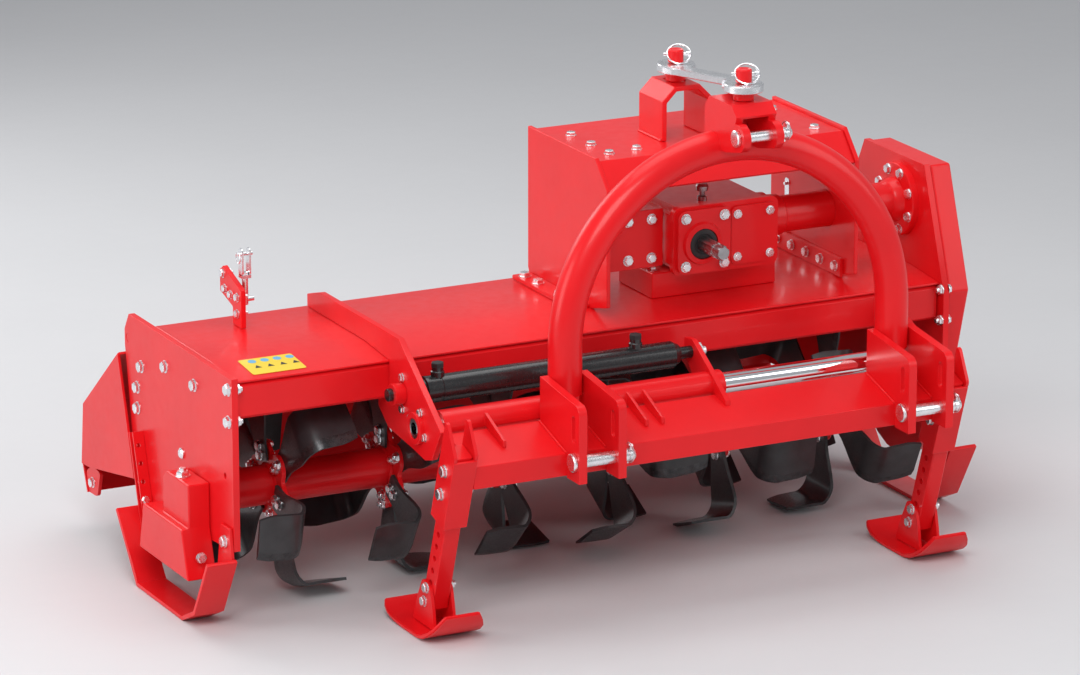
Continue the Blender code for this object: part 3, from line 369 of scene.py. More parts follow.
# ---------------------------------------------------------------- bolts, pins and other hardware
def add_bolt(shape, place, normal, size=0.012, nut=False, skin=0):
    """A washer and a hexagon head, or a nut with the end of its bolt, sized by its thread."""
    matrix = facing(place, normal)
    washer, across, tall = size * 1.05, size * 0.90, size * 0.62
    add_lathe(shape, [(washer, 0), (washer, size * 0.14), (0, size * 0.14)], matrix, 20, skin)
    base = size * 0.14
    head = [(across * 1.04, base), (across * 1.04, base + tall * 0.82), (across * 0.86, base + tall),
            (0, base + tall)]
    add_lathe(shape, head, matrix, 6, skin)
    if nut:
        end = base + tall + size * 0.45
        thread = [(size / 2, base + tall * 0.9), (size / 2, end - 0.001), (size / 2 - 0.001, end), (0, end)]
        add_lathe(shape, thread, matrix, 14, skin)


def bolts(name, node, rows):
    """One piece of hardware on a node, from rows of (place, normal, thread, is a nut)."""
    shape = bmesh.new()
    for place, normal, size, nut in rows:
        add_bolt(shape, place, normal, size, nut)
    put(name, shape, node, [ZINC], 25)


def grid(xs, ys, zs, normal, size, nut=False):
    """Rows for bolts(), one at each crossing of the places along X, Y and Z."""
    return [(Vector((x, y, z)), normal, size, nut) for x in xs for y in ys for z in zs]


def add_linch(shape, place, axis, ring_normal, size):
    """A linch pin: a short pin through a hole, with a sprung ring round the shaft's end."""
    axis, ring_normal = Vector(axis).normalized(), Vector(ring_normal).normalized()
    add_tube(shape, [place - axis * size * 1.3, place + axis * size * 1.5], size * 0.17, 12)
    side = axis.cross(ring_normal).normalized()
    centre = place + axis * size * 0.35
    turns = [2 * pi * k / 28 for k in range(28)]
    loop = [centre + size * 1.25 * (cos(t) * axis + sin(t) * side) for t in turns]
    add_tube(shape, loop, size * 0.105, 8, closed=True)
    cap = [(size * 0.30, -size * 0.2), (size * 0.30, size * 0.25), (0, size * 0.25)]
    add_lathe(shape, cap, facing(place + axis * size * 1.3, axis), 14)


def headed_pin(node, radius, head, lean, linch_size):
    """A turned pin with a head at its left end and a linch pin through its right end."""
    low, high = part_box(node)
    centre = middle(node)
    length = high[0] - low[0]
    shape = bmesh.new()
    profile = [(0, 0), (head - 0.003, 0), (head, 0.002), (head, 0.0075), (radius, 0.008),
               (radius, length - 0.004), (radius - 0.003, length), (0, length)]
    add_lathe(shape, profile, Matrix.Translation((low[0], centre.y, centre.z)) @ ALONG_X, 36)
    add_linch(shape, Vector((high[0] - 0.012, centre.y, centre.z)), lean, RIGHT, linch_size)
    replace_node(f"{node}_turned", shape, node, [ZINC], 30)


def add_weld(shape, first, last, radius):
    """A straight bead with the ripple of a hand weld."""
    steps = max(int((last - first).length / 0.004), 1)
    bead = [first.lerp(last, k / steps) + Vector((0, 0, 0.0004 * sin(k * 1.9))) for k in range(steps)]
    add_tube(shape, [*bead, last], radius, 8)


# ---------------------------------------------------------------- hood, side plates and beam
def body_panels():
    rework("hood_deck", RED, 0.0025, 3)
    rework("front_beam", RED, 0.0030, 3)
    drill = bmesh.new()
    add_lathe(drill, rod(0.007, -0.03, 0.03), facing(at(-HALF, 0.044, 0.350), RIGHT), 24)
    rework("left_side_plate", RED, 0.0020, 2, drill)
    rework("right_side_plate", RED, 0.0020)
    rework("left_rib", RED, 0.0018)
    rework("right_bar_bracket", RED, 0.0018)


def panel_bolts():
    """Bolts on the two side plates where the beam, hood and skids are fixed."""
    beam_y, beam_heights = 0.0115, (0.553, 0.480)
    places = [(0.508, 0.475), (0.369, 0.512), (0.205, 0.513), (0.0175, 0.553), (0.0175, 0.480),
              (0.534, 0.420), (0.534, 0.371)]
    rows = [(at(-HALF, y, z), LEFT, 0.014, False) for y, z in places]
    rows += [(at(-HALF + 0.015, beam_y, z), RIGHT, 0.012, True) for z in beam_heights]
    bolts("left_plate_bolts", "left_side_plate", rows)
    rows = [(at(HALF, y, z), RIGHT, 0.014, False) for y, z in places if y > 0.5]
    rows += [(at(HALF, beam_y, z), RIGHT, 0.012, False) for z in beam_heights]
    rows += [(at(HALF - 0.015, beam_y, z), LEFT, 0.012, True) for z in beam_heights]
    bolts("right_plate_bolts", "right_side_plate", rows)
    plug = bmesh.new()
    dome = [(0.013, 0), (0.013, 0.003), (0.009, 0.006), (0, 0.006)]
    add_lathe(plug, dome, facing(at(-HALF, 0.284, 0.334), LEFT), 24)
    put("left_plate_plug", plug, "left_side_plate", [ZINC])


def decal():
    """The label on the hood's sloping front panel, with discs and triangles in place of its pictures."""
    low, high = at(0, 0.030, 0.5686), at(0, 0.138, 0.5795)
    slope = atan2(high.z - low.z, high.y - low.y)
    matrix = Matrix.Translation(at(-0.768, 0.085, 0.5754)) @ Matrix.Rotation(slope, 4, "X")
    shape = bmesh.new()
    add_prism(shape, rounded(rectangle(-0.064, -0.044, 0.064, 0.044), 0.006), 0.0006, matrix)
    for k in range(4):
        column = -0.036 + 0.030 * k
        disc = matrix @ Matrix.Translation((column, 0.028, 0.0004))
        add_lathe(shape, [(0.0095, -0.0002), (0.0095, 0.0002), (0, 0.0002)], disc, 24, 1)
        triangle = matrix @ Matrix.Translation((column, -0.003, 0.0004))
        add_prism(shape, [(-0.008, -0.007), (0.008, -0.007), (0, 0.008)], 0.0004, triangle, 2)
    put("blank_label", shape, "hood_deck", [YELLOW, PALE_BLUE, DARK])


# ---------------------------------------------------------------- gear case
def gear_case():
    rework("gear_case", RED, 0.006, 3)
    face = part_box("gear_case")[1][0]
    outline = [(0.352, 0.806), (0.122, 0.806), (0.030, 0.545), *arc((0.240, 0.248), 0.124, 190, 350, 14),
               (0.445, 0.560)]
    shape = bmesh.new()
    add_prism(shape, rounded(outline, 0.010, 2), 0.004, side_on(face + 0.002, FRONT))
    put("gear_case_cover", shape, "gear_case", [RED])
    border = [(0.338, 0.792), (0.236, 0.792), (0.134, 0.792), (0.098, 0.700), (0.066, 0.610),
              (0.044, 0.520), (0.060, 0.420), (0.094, 0.320), (0.128, 0.230), (0.180, 0.160),
              (0.240, 0.140), (0.300, 0.160), (0.352, 0.230), (0.386, 0.320), (0.412, 0.420),
              (0.425, 0.520), (0.408, 0.610), (0.372, 0.700)]
    rows = [(at(face + 0.004, y, z), RIGHT, 0.008, False) for y, z in border]
    bolts("gear_case_bolts", "gear_case", rows)


# ---------------------------------------------------------------- rotor
ROTOR = middle("rotor_tube")
REACH = 0.2425               # the outermost point of a blade
FLANGES = 6
FLANGE_START = radians(-15)  # the first flange's turn, and each next one's step
FLANGE_STEP = radians(15)
BLADES = 6
BLADE_THICKNESS = 0.0085     # at the root


def blade_path():
    """Middle line of a blade as (sideways, outwards, turn of its thickness), from its root to its tip."""
    base, bend, root, reach, end = 0.0094, 0.050, 0.054, 0.2378, 0.130
    centre = (base + bend, reach - bend)
    path = [(base, root + (centre[1] - root) * k / 6, pi) for k in range(6)]
    for k in range(11):
        turn = radians(180 - 90 * k / 10)
        path.append((centre[0] + bend * cos(turn), centre[1] + bend * sin(turn), turn))
    for k in range(1, 5):
        path.append((centre[0] + (end - centre[0]) * k / 4, reach, pi / 2))
    return path


def add_blade(shape, x, side, turn):
    """A blade with a swept-back shank, a wide bent wing and a ground leading edge."""
    place = Matrix.Translation((x, ROTOR.y, ROTOR.z)) @ Matrix.Rotation(turn, 4, "X")
    section = [(-0.50, -0.5), (-0.50, 0.5), (0.30, 0.5), (0.50, 0.08), (0.50, -0.5)]
    ground_edge = 2
    path = blade_path()
    total = sum(hypot(b[0] - a[0], b[1] - a[1]) for a, b in zip(path, path[1:]))
    length = 0.0
    last = path[0]
    rings = []
    for sideways, outwards, angle in path:
        length += hypot(sideways - last[0], outwards - last[1])
        last = (sideways, outwards)
        share = length / total
        sweep = 0.018 * max(share - 0.10, 0) ** 1.3
        grow = min(max((share - 0.10) / 0.40, 0), 1)
        wide = 0.060 + 0.054 * grow * grow * (3 - 2 * grow)
        if share > 0.90:
            wide *= 1 - 1.4 * (share - 0.90)
        thick = BLADE_THICKNESS - 0.002 * share
        normal = Vector((cos(angle), sin(angle)))
        ring = []
        for across, deep in section:
            y = across * wide - sweep
            u = sideways + normal.x * deep * thick
            v = outwards + normal.y * deep * thick
            limit = sqrt(max(REACH ** 2 - y * y, 0)) - (0.5 - deep) * thick * max(normal.y, 0)
            ring.append(shape.verts.new(place @ Vector((side * u, -y, min(v, limit)))))
        rings.append(ring)
    bridge(shape, rings, ground_edge)
    for outwards in (0.067, 0.088):
        for face_side, seat in ((-1, -0.0050), (1, 0.0137)):
            spot = place @ Vector((side * seat, 0, outwards))
            normal = place.to_3x3() @ Vector((side * face_side, 0, 0))
            add_bolt(shape, spot, normal, 0.012, face_side < 0, 2)


def rotor():
    lobe = ((-0.26, 0.094), (0.0, 0.098), (0.26, 0.094), (0.52, 0.074))
    weld = [(0.0450, -0.010), (0.0500, -0.006), (0.0510, 0.0), (0.0500, 0.006), (0.0450, 0.010)]
    for number in range(FLANGES):
        node = f"rotor_flange_{number + 1}"
        x = middle(node).x
        start = FLANGE_START + number * FLANGE_STEP
        outline = []
        for k in range(BLADES):
            for offset, radius in lobe:
                turn = start + k * 2 * pi / BLADES + offset
                outline.append((-radius * sin(turn), radius * cos(turn)))
        shape = bmesh.new()
        add_prism(shape, rounded(outline, 0.010, 3), 0.010, side_on(x, ROTOR.y, ROTOR.z), 3)
        add_lathe(shape, weld, Matrix.Translation((x, ROTOR.y, ROTOR.z)) @ ALONG_X, 32, 3)
        for k in range(BLADES):
            add_blade(shape, x, 1 if k % 2 else -1, start + k * 2 * pi / BLADES)
        replace_node(f"blades_{number + 1}", shape, node, [BLADE, EDGE, ZINC, RED], 28)
    low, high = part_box("rotor_tube")
    radius = (high[2] - low[2]) / 2
    stub, end, stub_end = 0.025, 0.877, HALF - 0.003
    right_half = [(radius, end - 0.002), (radius - 0.002, end), (stub, end), (stub, stub_end),
                  (0, stub_end)]
    profile = [(reach, -x) for reach, x in right_half[::-1]] + right_half
    turn_node("rotor_tube_round", "rotor_tube", profile, (0, ROTOR.y, ROTOR.z), RED)


# ---------------------------------------------------------------- slide bar, cylinder, left rib
def bar_and_rod():
    low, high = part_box("slide_bar")
    bar = middle("slide_bar")
    radius = (high[2] - low[2]) / 2
    half = (high[0] - low[0]) / 2
    profile = [(0, -half + 0.045), (radius - 0.010, -half + 0.045), (radius - 0.010, -half),
               (radius - 0.002, -half), (radius, -half + 0.002), (radius, half - 0.002),
               (radius - 0.002, half), (0, half)]
    turn_node("slide_bar_ground", "slide_bar", profile, bar, CHROME)

    low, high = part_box("cylinder_rod")
    half = (high[0] - low[0]) / 2
    eye = -half + 0.010
    place = Matrix.Translation(middle("cylinder_rod")) @ ALONG_X
    shape = bmesh.new()
    add_lathe(shape, rod(0.0125, eye, half), place, 36)
    end = [(0, -half), (0.0130, -half), (0.0145, -half + 0.0015), (0.0145, eye), (0, eye)]
    add_lathe(shape, end, place, 36, 1)
    replace_node("cylinder_rod_ground", shape, "cylinder_rod", [CHROME, BLACK])
    rework("rod_clamp", RED)

    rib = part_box("left_rib")
    clamp = middle("rod_clamp")
    rows = [(Vector((rib[0][0], clamp.y, clamp.z + dz)), LEFT, 0.010, False) for dz in (0.036, -0.036)]
    for dy, dz in ((-0.035, -0.012), (0.034, 0.014), (-0.014, 0.038)):
        rows.append((Vector((rib[0][0], bar.y + dy, bar.z + dz)), LEFT, 0.010, False))
        rows.append((Vector((rib[1][0], bar.y + dy, bar.z + dz)), RIGHT, 0.010, True))
    bolts("left_rib_bolts", "left_rib", rows)
    bore, rim = radius + 0.0004, radius + 0.012
    collar = bmesh.new()
    profile = [(bore, -0.012), (rim - 0.001, -0.012), (rim, -0.011), (rim, 0), (bore, 0)]
    add_lathe(collar, profile, Matrix.Translation((rib[0][0], bar.y, bar.z)) @ ALONG_X, 36)
    put("bar_end_collar", collar, "left_rib", [RED])


def side_cylinder():
    """The side-shift cylinder's barrel with its gland, ports and eye."""
    low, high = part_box("cylinder_barrel")
    left = low[0]
    stem = high[0] - left
    axis = middle("cylinder_rod")
    length, radius = 0.630, 0.031
    groove, wall = radius - 0.0016, radius - 0.0004
    profile = [(0.0130, 0.030), (0.0130, 0), (0.024, 0), (0.026, 0.002), (0.026, 0.012), (radius, 0.014),
               (radius, 0.046), (groove, 0.047), (groove, 0.051), (wall, 0.052), (wall, length - 0.002),
               (radius - 0.002, length), (0.022, length + 0.014), (0.014, length + 0.016), (0.014, stem),
               (0, stem)]
    shape = bmesh.new()
    add_lathe(shape, profile, Matrix.Translation((left, axis.y, axis.z)) @ ALONG_X, 48)
    boss = [(0.0155, 0), (0.0155, 0.012), (0.013, 0.014), (0.013, 0.024), (0, 0.024)]
    cap = [(0.0150, 0.022), (0.0150, 0.031), (0.0135, 0.0325), (0, 0.0325)]
    for port in (0.048, 0.538):
        foot = Matrix.Translation((left + port, axis.y, axis.z + radius - 0.004))
        add_lathe(shape, boss, foot, 28)
        add_lathe(shape, cap, foot, 6, 1)
    replace_node("cylinder_barrel_round", shape, "cylinder_barrel", [BLACK, RUBBER])
    rework("cylinder_lug", RED)
    nut = bmesh.new()
    add_bolt(nut, Vector((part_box("cylinder_lug")[1][0], axis.y, axis.z)), RIGHT, 0.020, True)
    put("cylinder_eye_nut", nut, "cylinder_lug", [ZINC], 25)


# ---------------------------------------------------------------- headstock
def headstock():
    left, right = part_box("headstock_left_plate"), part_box("headstock_right_plate")
    for node in ("headstock_left_plate", "headstock_right_plate", "headstock_top"):
        rework(node, RED, 0.0018)
    rework("link_bracket", RED, 0.0025, 3)

    foot, foot_top, rear = HOOD_TOP + 0.0005, HOOD_TOP + 0.0105, 0.452
    feet = bmesh.new()
    rows = []
    for x, side in ((left[0][0], -1), (right[1][0], 1)):
        low_x, high_x = sorted((x + side * 0.0003, x + side * 0.048))
        add_box(feet, at(low_x, 0.156, foot), at(high_x, rear, foot_top))
        for y in (0.185, 0.250, 0.358, 0.425):
            rows.append((at(x + side * 0.028, y, foot_top), UP, 0.014, False))
    inner = right[0][0] - 0.0003
    add_box(feet, at(inner - 0.008, 0.120, foot), at(inner, rear, HOOD_TOP + 0.046))
    for k in range(5):
        rows.append((at(inner - 0.008, 0.143 + 0.068 * k, HOOD_TOP + 0.024), LEFT, 0.012, False))
    bmesh.ops.bevel(feet, geom=list(feet.edges), offset=0.0015, segments=2, affect="EDGES")
    put("headstock_feet", feet, "headstock_left_plate", [RED])

    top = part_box("headstock_top")[1][2]
    places = [(0.110, 0.180), (0.110, 0.270), (0.110, 0.370), (0.185, 0.190),
              (0.560, 0.180), (0.640, 0.180), (0.560, 0.380), (0.640, 0.380)]
    rows += [(at(x, y, top), UP, 0.012, False) for x, y in places]
    bolts("headstock_bolts", "headstock_top", rows)

    bead = bmesh.new()
    low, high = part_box("link_bracket")
    for x in (low[0] - 0.001, high[0] + 0.001):
        first = Vector((x, low[1] + 0.004, top + 0.002))
        last = Vector((x, high[1] - 0.004, top + 0.002))
        add_weld(bead, first, last, 0.0035)
    put("bracket_welds", bead, "link_bracket", [RED], 60)


# ---------------------------------------------------------------- gearbox and drive line
REAR_INSET = 0.014           # from the housing's edges to its rear cover


def gearbox():
    """The housing with its rims and ribs, the front covers and the seal."""
    low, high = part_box("gearbox")
    cover_low, cover_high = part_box("gearbox_cover")
    pto = middle("pto_shaft")
    wall = Vector((0.006, 0.010, 0.006))
    housing = bmesh.new()
    add_box(housing, Vector(low) + wall, Vector(high) - wall)
    bmesh.ops.bevel(housing, geom=list(housing.edges), offset=0.016, segments=4, affect="EDGES")
    front_rim = rounded(rectangle(low[0], low[2], high[0], high[2]), 0.020, 5)
    add_prism(housing, front_rim, 0.017, front_on(low[1] + 0.009))
    for z in (low[2] + 0.055, (low[2] + high[2]) / 2, high[2] - 0.055):
        add_box(housing, (high[0] - 0.010, low[1] + 0.030, z - 0.004),
                (high[0] - 0.002, high[1] - 0.030, z + 0.004))
    rear_cover = rectangle(low[0] + REAR_INSET, low[2] + REAR_INSET,
                           high[0] - REAR_INSET, high[2] - REAR_INSET)
    add_prism(housing, rounded(rear_cover, 0.022, 5), 0.014, front_on(high[1] - 0.007))
    replace_node("gearbox_housing", housing, "gearbox", [RED], 30)

    plate = bmesh.new()
    face = rounded(rectangle(cover_low[0], cover_low[2], cover_high[0], cover_high[2]), 0.020, 5)
    depth = cover_high[1] - cover_low[1]
    add_prism(plate, face, depth, front_on(cover_low[1] + depth / 2 + 0.0005))
    boss = [(0.050, 0), (0.047, 0.008), (0.036, 0.010), (0.036, 0)]
    add_lathe(plate, boss, facing(Vector((pto.x, cover_low[1] + 0.001, pto.z)), FORWARD), 48)
    second = rectangle(cover_high[0] + 0.006, cover_low[2] + 0.006, high[0] - 0.008, cover_high[2] - 0.006)
    add_prism(plate, rounded(second, 0.018, 5), 0.006, front_on(low[1] - 0.003))
    replace_node("gearbox_front_covers", plate, "gearbox_cover", [RED], 30)

    seal = bmesh.new()
    ring = [(0.0345, 0), (0.0345, 0.006), (0.030, 0.0085), (0.024, 0.0085), (0.021, 0.006), (0.018, 0.006),
            (0.018, 0)]
    add_lathe(seal, ring, facing(Vector((pto.x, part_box("shaft_seal")[0][1] + 0.009, pto.z)), FORWARD), 40)
    replace_node("shaft_seal_lip", seal, "shaft_seal", [RUBBER])


def gearbox_fittings():
    """Bolts on the gearbox's covers, left side, plate and base, and its breather."""
    low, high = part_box("gearbox")
    cover_low, cover_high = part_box("gearbox_cover")
    plate_low, plate_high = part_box("gearbox_plate")
    base_low, base_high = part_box("gearbox_base")
    rows = grid((cover_low[0] + 0.018, cover_high[0] - 0.017), [cover_low[1]],
                (cover_low[2] + 0.018, cover_high[2] - 0.018), FORWARD, 0.012)
    rows += grid((cover_high[0] + 0.022, high[0] - 0.024), [low[1] - 0.006],
                 (cover_low[2] + 0.024, cover_high[2] - 0.024), FORWARD, 0.010)
    rows += grid([low[0] + 0.006], [low[1] + 0.080],
                 (low[2] + 0.030, (low[2] + high[2]) / 2, high[2] - 0.030), LEFT, 0.010)
    edge = REAR_INSET + 0.016
    rows += grid([low[0] + edge + (high[0] - low[0] - 2 * edge) * k / 3 for k in range(4)], [high[1]],
                 (low[2] + edge, high[2] - edge), BACK, 0.009)
    rows += grid((plate_low[0] + 0.030, plate_high[0] - 0.030, (plate_low[0] + plate_high[0]) / 2),
                 [plate_low[1]], (plate_low[2] + 0.022, plate_high[2] - 0.022), FORWARD, 0.012)
    rows += grid((base_low[0] + 0.014, base_high[0] - 0.010), (base_low[1] + 0.030, base_high[1] - 0.030),
                 [base_high[2]], UP, 0.012)
    bolts("gearbox_bolts", "gearbox", rows)

    vent = bmesh.new()
    stem = [(0.011, 0), (0.011, 0.010), (0.007, 0.012), (0.007, 0.022), (0.014, 0.024), (0.015, 0.034),
            (0.011, 0.040), (0, 0.041)]
    foot = Vector(((low[0] + high[0]) / 2 - 0.03, (low[1] + high[1]) / 2 - 0.05, high[2] - 0.006))
    add_lathe(vent, stem, Matrix.Translation(foot), 28)
    put("gearbox_breather", vent, "gearbox", [STEEL])
    rework("gearbox_base", RED, 0.003, 3)
    rework("gearbox_plate", RED)


def pto_shaft():
    """A splined shaft end with a chamfer and a locking groove."""
    low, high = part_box("pto_shaft")
    centre = middle("pto_shaft")
    radius = (high[0] - low[0]) / 2
    teeth, steps = 6, 8
    sections = [(0.0, 0.80, 0.80), (0.004, 0.98, 0.80), (0.022, 1.0, 0.82), (0.0225, 0.84, 0.80),
                (0.0305, 0.84, 0.80), (0.031, 1.0, 0.82), (0.082, 1.0, 0.82), (0.090, 1.0, 1.0),
                (high[1] - low[1], 1.0, 1.0)]
    shape = bmesh.new()
    rings = []
    for depth, tip, valley in sections:
        ring = []
        for k in range(teeth * steps):
            level = tip if k % steps < steps / 2 else valley
            turn = 2 * pi * (k + (0.25 if k % steps in (0, 4) else 0)) / (teeth * steps)
            ring.append(shape.verts.new((centre.x + radius * level * cos(turn), low[1] + depth,
                                         centre.z + radius * level * sin(turn))))
        rings.append(ring)
    bridge(shape, rings)
    replace_node("pto_shaft_splines", shape, "pto_shaft", [STEEL], 25)


def drive_tube():
    low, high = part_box("drive_tube")
    centre = middle("drive_tube")
    length = high[0] - low[0]
    radius, flange = 0.0425, (high[2] - low[2]) / 2
    profile = [(0, 0), (0.0545, 0), (0.0565, 0.002), (0.0565, 0.014), (0.050, 0.018), (0.0475, 0.050),
               (radius, 0.055), (radius, length - 0.040), (radius + 0.006, length - 0.034),
               (radius + 0.010, length - 0.018), (flange - 0.002, length - 0.016), (flange, length - 0.014),
               (flange, length), (0, length)]
    turn_node("drive_tube_round", "drive_tube", profile, (low[0], centre.y, centre.z), RED, 64)
    rows = []
    circles = [(8, high[0] - 0.016, 0.072, LEFT, 0.012), (4, low[0] + 0.014, 0.0495, RIGHT, 0.007)]
    for count, x, reach, normal, size in circles:
        for k in range(count):
            turn = 2 * pi * (k + 0.5) / count
            spot = Vector((x, centre.y + reach * cos(turn), centre.z + reach * sin(turn)))
            rows.append((spot, normal, size, False))
    bolts("drive_flange_bolts", "drive_tube", rows)


# ---------------------------------------------------------------- guard, skids and straps
def strap_channel(name, side):
    """A channel of two flanges and a web, with holes for the skid's rear end."""
    node = f"{name}_skid_strap"
    low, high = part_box(node)
    foot = Vector((0, low[1] + 0.014, low[2] + 0.004))
    run = Vector((0, high[1] - 0.017, high[2] - 0.004)) - foot
    along = run.normalized()
    across = Vector((0, -along.z, along.y))
    lean = Matrix(((1, 0, 0, 0), (0, across.y, along.y, 0), (0, across.z, along.z, 0), (0, 0, 0, 1)))
    matrix = Matrix.Translation(((low[0] + high[0]) / 2, foot.y, foot.z)) @ lean
    wide, half, wall = (high[0] - low[0]) / 2, 0.013, 0.005
    profile = [(-wide, -half), (wide, -half), (wide, -half + wall), (-wide + wall, -half + wall),
               (-wide + wall, half - wall), (wide, half - wall), (wide, half), (-wide, half)]
    if side < 0:
        profile = [(-u, v) for u, v in profile[::-1]]
    shape, holes = bmesh.new(), bmesh.new()
    add_prism(shape, profile, run.length, matrix @ Matrix.Translation((0, 0, run.length / 2)))
    for k in range(5):
        spot = matrix @ Vector((side * 0.003, 0, run.length * (0.24 + 0.16 * k)))
        add_lathe(holes, rod(0.0052, -0.03, 0.03), facing(spot, across), 20)
    replace_node(f"{name}_strap_channel", carve(shape, holes, 0.0008), node, [RED])
    rows = []
    for share in (0.40, 0.10):
        for face in (1, -1):
            spot = matrix @ Vector((side * 0.003, face * half, run.length * share))
            rows.append((spot, face * across, 0.009, face < 0))
    bolts(f"{name}_strap_bolts", node, rows)


def low_ends():
    rework("bearing_guard", RED, 0.004, 3)
    low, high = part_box("bearing_guard")
    rows = [(at(low[0] + 0.036, 0.200, high[2]), UP, 0.016, True),
            (Vector((low[0] + 0.034, low[1] + 0.004, 0.150)), FORWARD, 0.012, False)]
    bolts("guard_bolts", "bearing_guard", rows)
    for side, name in ((-1, "left"), (1, "right")):
        node = f"{name}_skid"
        rework(node, RED, 0.0020)
        strap_channel(name, side)
        outer = side * (HALF + 0.0085)
        rows = [(at(outer, 0.030, 0.205), (side, 0, 0), 0.014, False),
                (at(outer, 0.040, 0.130), (side, 0, 0), 0.012, False)]
        bolts(f"{node}_bolts", node, rows)


# ---------------------------------------------------------------- tailgate and its adjuster
def tailgate():
    rework("tailgate", RED)
    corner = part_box("tailgate")[1]
    foot_y = corner[1] - 0.028
    rear = foot_y - FRONT
    outline = rounded([(rear - 0.055, 0.090), (rear, 0.088), (rear + 0.010, 0.135), (rear - 0.030, 0.160),
                       (rear - 0.075, 0.152)], 0.010, 3)
    lugs = bmesh.new()
    rows = []
    for side in (-1, 1):
        x = side * (corner[0] - 0.0035)
        add_prism(lugs, outline, 0.008, side_on(x - side * 0.006, FRONT))
        rows.append((Vector((x - side * 0.002, foot_y - 0.030, 0.118)), (side, 0, 0), 0.012, False))
    put("tailgate_lugs", lugs, "tailgate", [RED])
    bolts("tailgate_bolts", "tailgate", rows)


def adjusters():
    """The tailgate adjusters' brackets on the hood, each with a fork, its cross pin and a ring."""
    for name, side in (("left", -1), ("right", 1)):
        node = f"{name}_adjuster_bracket"
        rework(node, RED)
        low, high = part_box(node)
        outer = low[0] if side < 0 else high[0]
        foot = low[2]
        rows = []
        for y, dz in ((0.372, 0.030), (0.372, 0.068), (0.408, 0.066), (0.440, 0.072), (0.452, 0.104)):
            rows.append((at(outer, y, foot + dz), (side, 0, 0), 0.010, False))
            rows.append((at(outer - side * 0.012, y, foot + dz), (-side, 0, 0), 0.010, True))
        bolts(f"{name}_adjuster_bolts", node, rows)

        fork = bmesh.new()
        base = at(outer - side * 0.026, 0.388, foot + 0.045)
        add_tube(fork, [base, base + Vector((0, 0, 0.075))], 0.007)
        arm = rounded(rectangle(-0.010, 0, 0.010, 0.062), 0.008, 4)
        for offset in (-0.009, 0.009):
            add_prism(fork, arm, 0.004, side_on(base.x + offset, base.y, base.z + 0.068))
        add_box(fork, base + Vector((-0.011, -0.010, 0.062)), base + Vector((0.011, 0.010, 0.070)))
        pin = base + Vector((0, 0, 0.117))
        add_tube(fork, [pin - Vector((0.018, 0, 0)), pin + Vector((0.018, 0, 0))], 0.004, 12)
        turns = [2 * pi * k / 20 for k in range(20)]
        loop = [pin + Vector((side * 0.016, 0.012 * cos(t), 0.012 * sin(t) - 0.008)) for t in turns]
        add_tube(fork, loop, 0.0015, 8, closed=True)
        add_tube(fork, [base + Vector((-0.020, 0, 0.012)), base + Vector((0.020, 0, 0.012))], 0.0055, 12)
        put(f"{name}_adjuster_fork", fork, node, [ZINC])


# ---------------------------------------------------------------- hitch frame
def hitch_frame():
    rework("hitch_beam", RED, 0.0025, 3)
    rework("slide_sleeve", RED, 0.0012)
    rework("left_stand_guide", RED, 0.0020)
    rework("right_stand_guide", RED, 0.0020)
    slot = [*arc((0, 0.022), 0.008, 0, 180, 10), *arc((0, -0.022), 0.008, 180, 360, 10)]
    for name in ("left", "right"):
        for part in ("outer", "inner"):
            node = f"{name}_clevis_{part}_plate"
            low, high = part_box(node)
            drill = bmesh.new()
            add_prism(drill, slot, 0.060, side_on((low[0] + high[0]) / 2, low[1] + 0.028, 0.468))
            rework(node, RED, 0.0022, 3, drill)
        headed_pin(f"{name}_clevis_pin", 0.014, 0.021, (0.0, -0.35, 0.94), 0.017)


def arch():
    low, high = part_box("hitch_arch")
    centre = middle("hitch_arch")
    radius = (high[1] - low[1]) / 2
    reach = (high[0] - low[0]) / 2 - radius
    spring = high[2] - radius - reach
    straight = [low[2] + (spring - low[2]) * k / 4 for k in range(4)]
    turns = [pi * k / 72 for k in range(73)]
    points = [(centre.x - reach, centre.y, z) for z in straight]
    points += [(centre.x - reach * cos(t), centre.y, spring + reach * sin(t)) for t in turns]
    points += [(centre.x + reach, centre.y, z) for z in straight[::-1]]
    shape = bmesh.new()
    add_tube(shape, points, radius, 40)
    replace_node("hitch_arch_round", shape, "hitch_arch", [RED], 40)


def fork():
    rework("top_fork", RED, 0.0025, 3)
    headed_pin("top_pin", 0.0125, 0.019, (0.0, -0.30, 0.95), 0.016)


def frame_welds():
    """Beads where the clevis plates meet the beam's slope."""
    shape = bmesh.new()
    for name in ("left", "right"):
        for part in ("outer", "inner"):
            low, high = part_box(f"{name}_clevis_{part}_plate")
            for x in (low[0] - 0.0008, high[0] + 0.0008):
                add_weld(shape, at(x, -0.2995, 0.4055), at(x, -0.1705, 0.4425), 0.003)
    put("frame_welds", shape, "hitch_beam", [RED], 60)


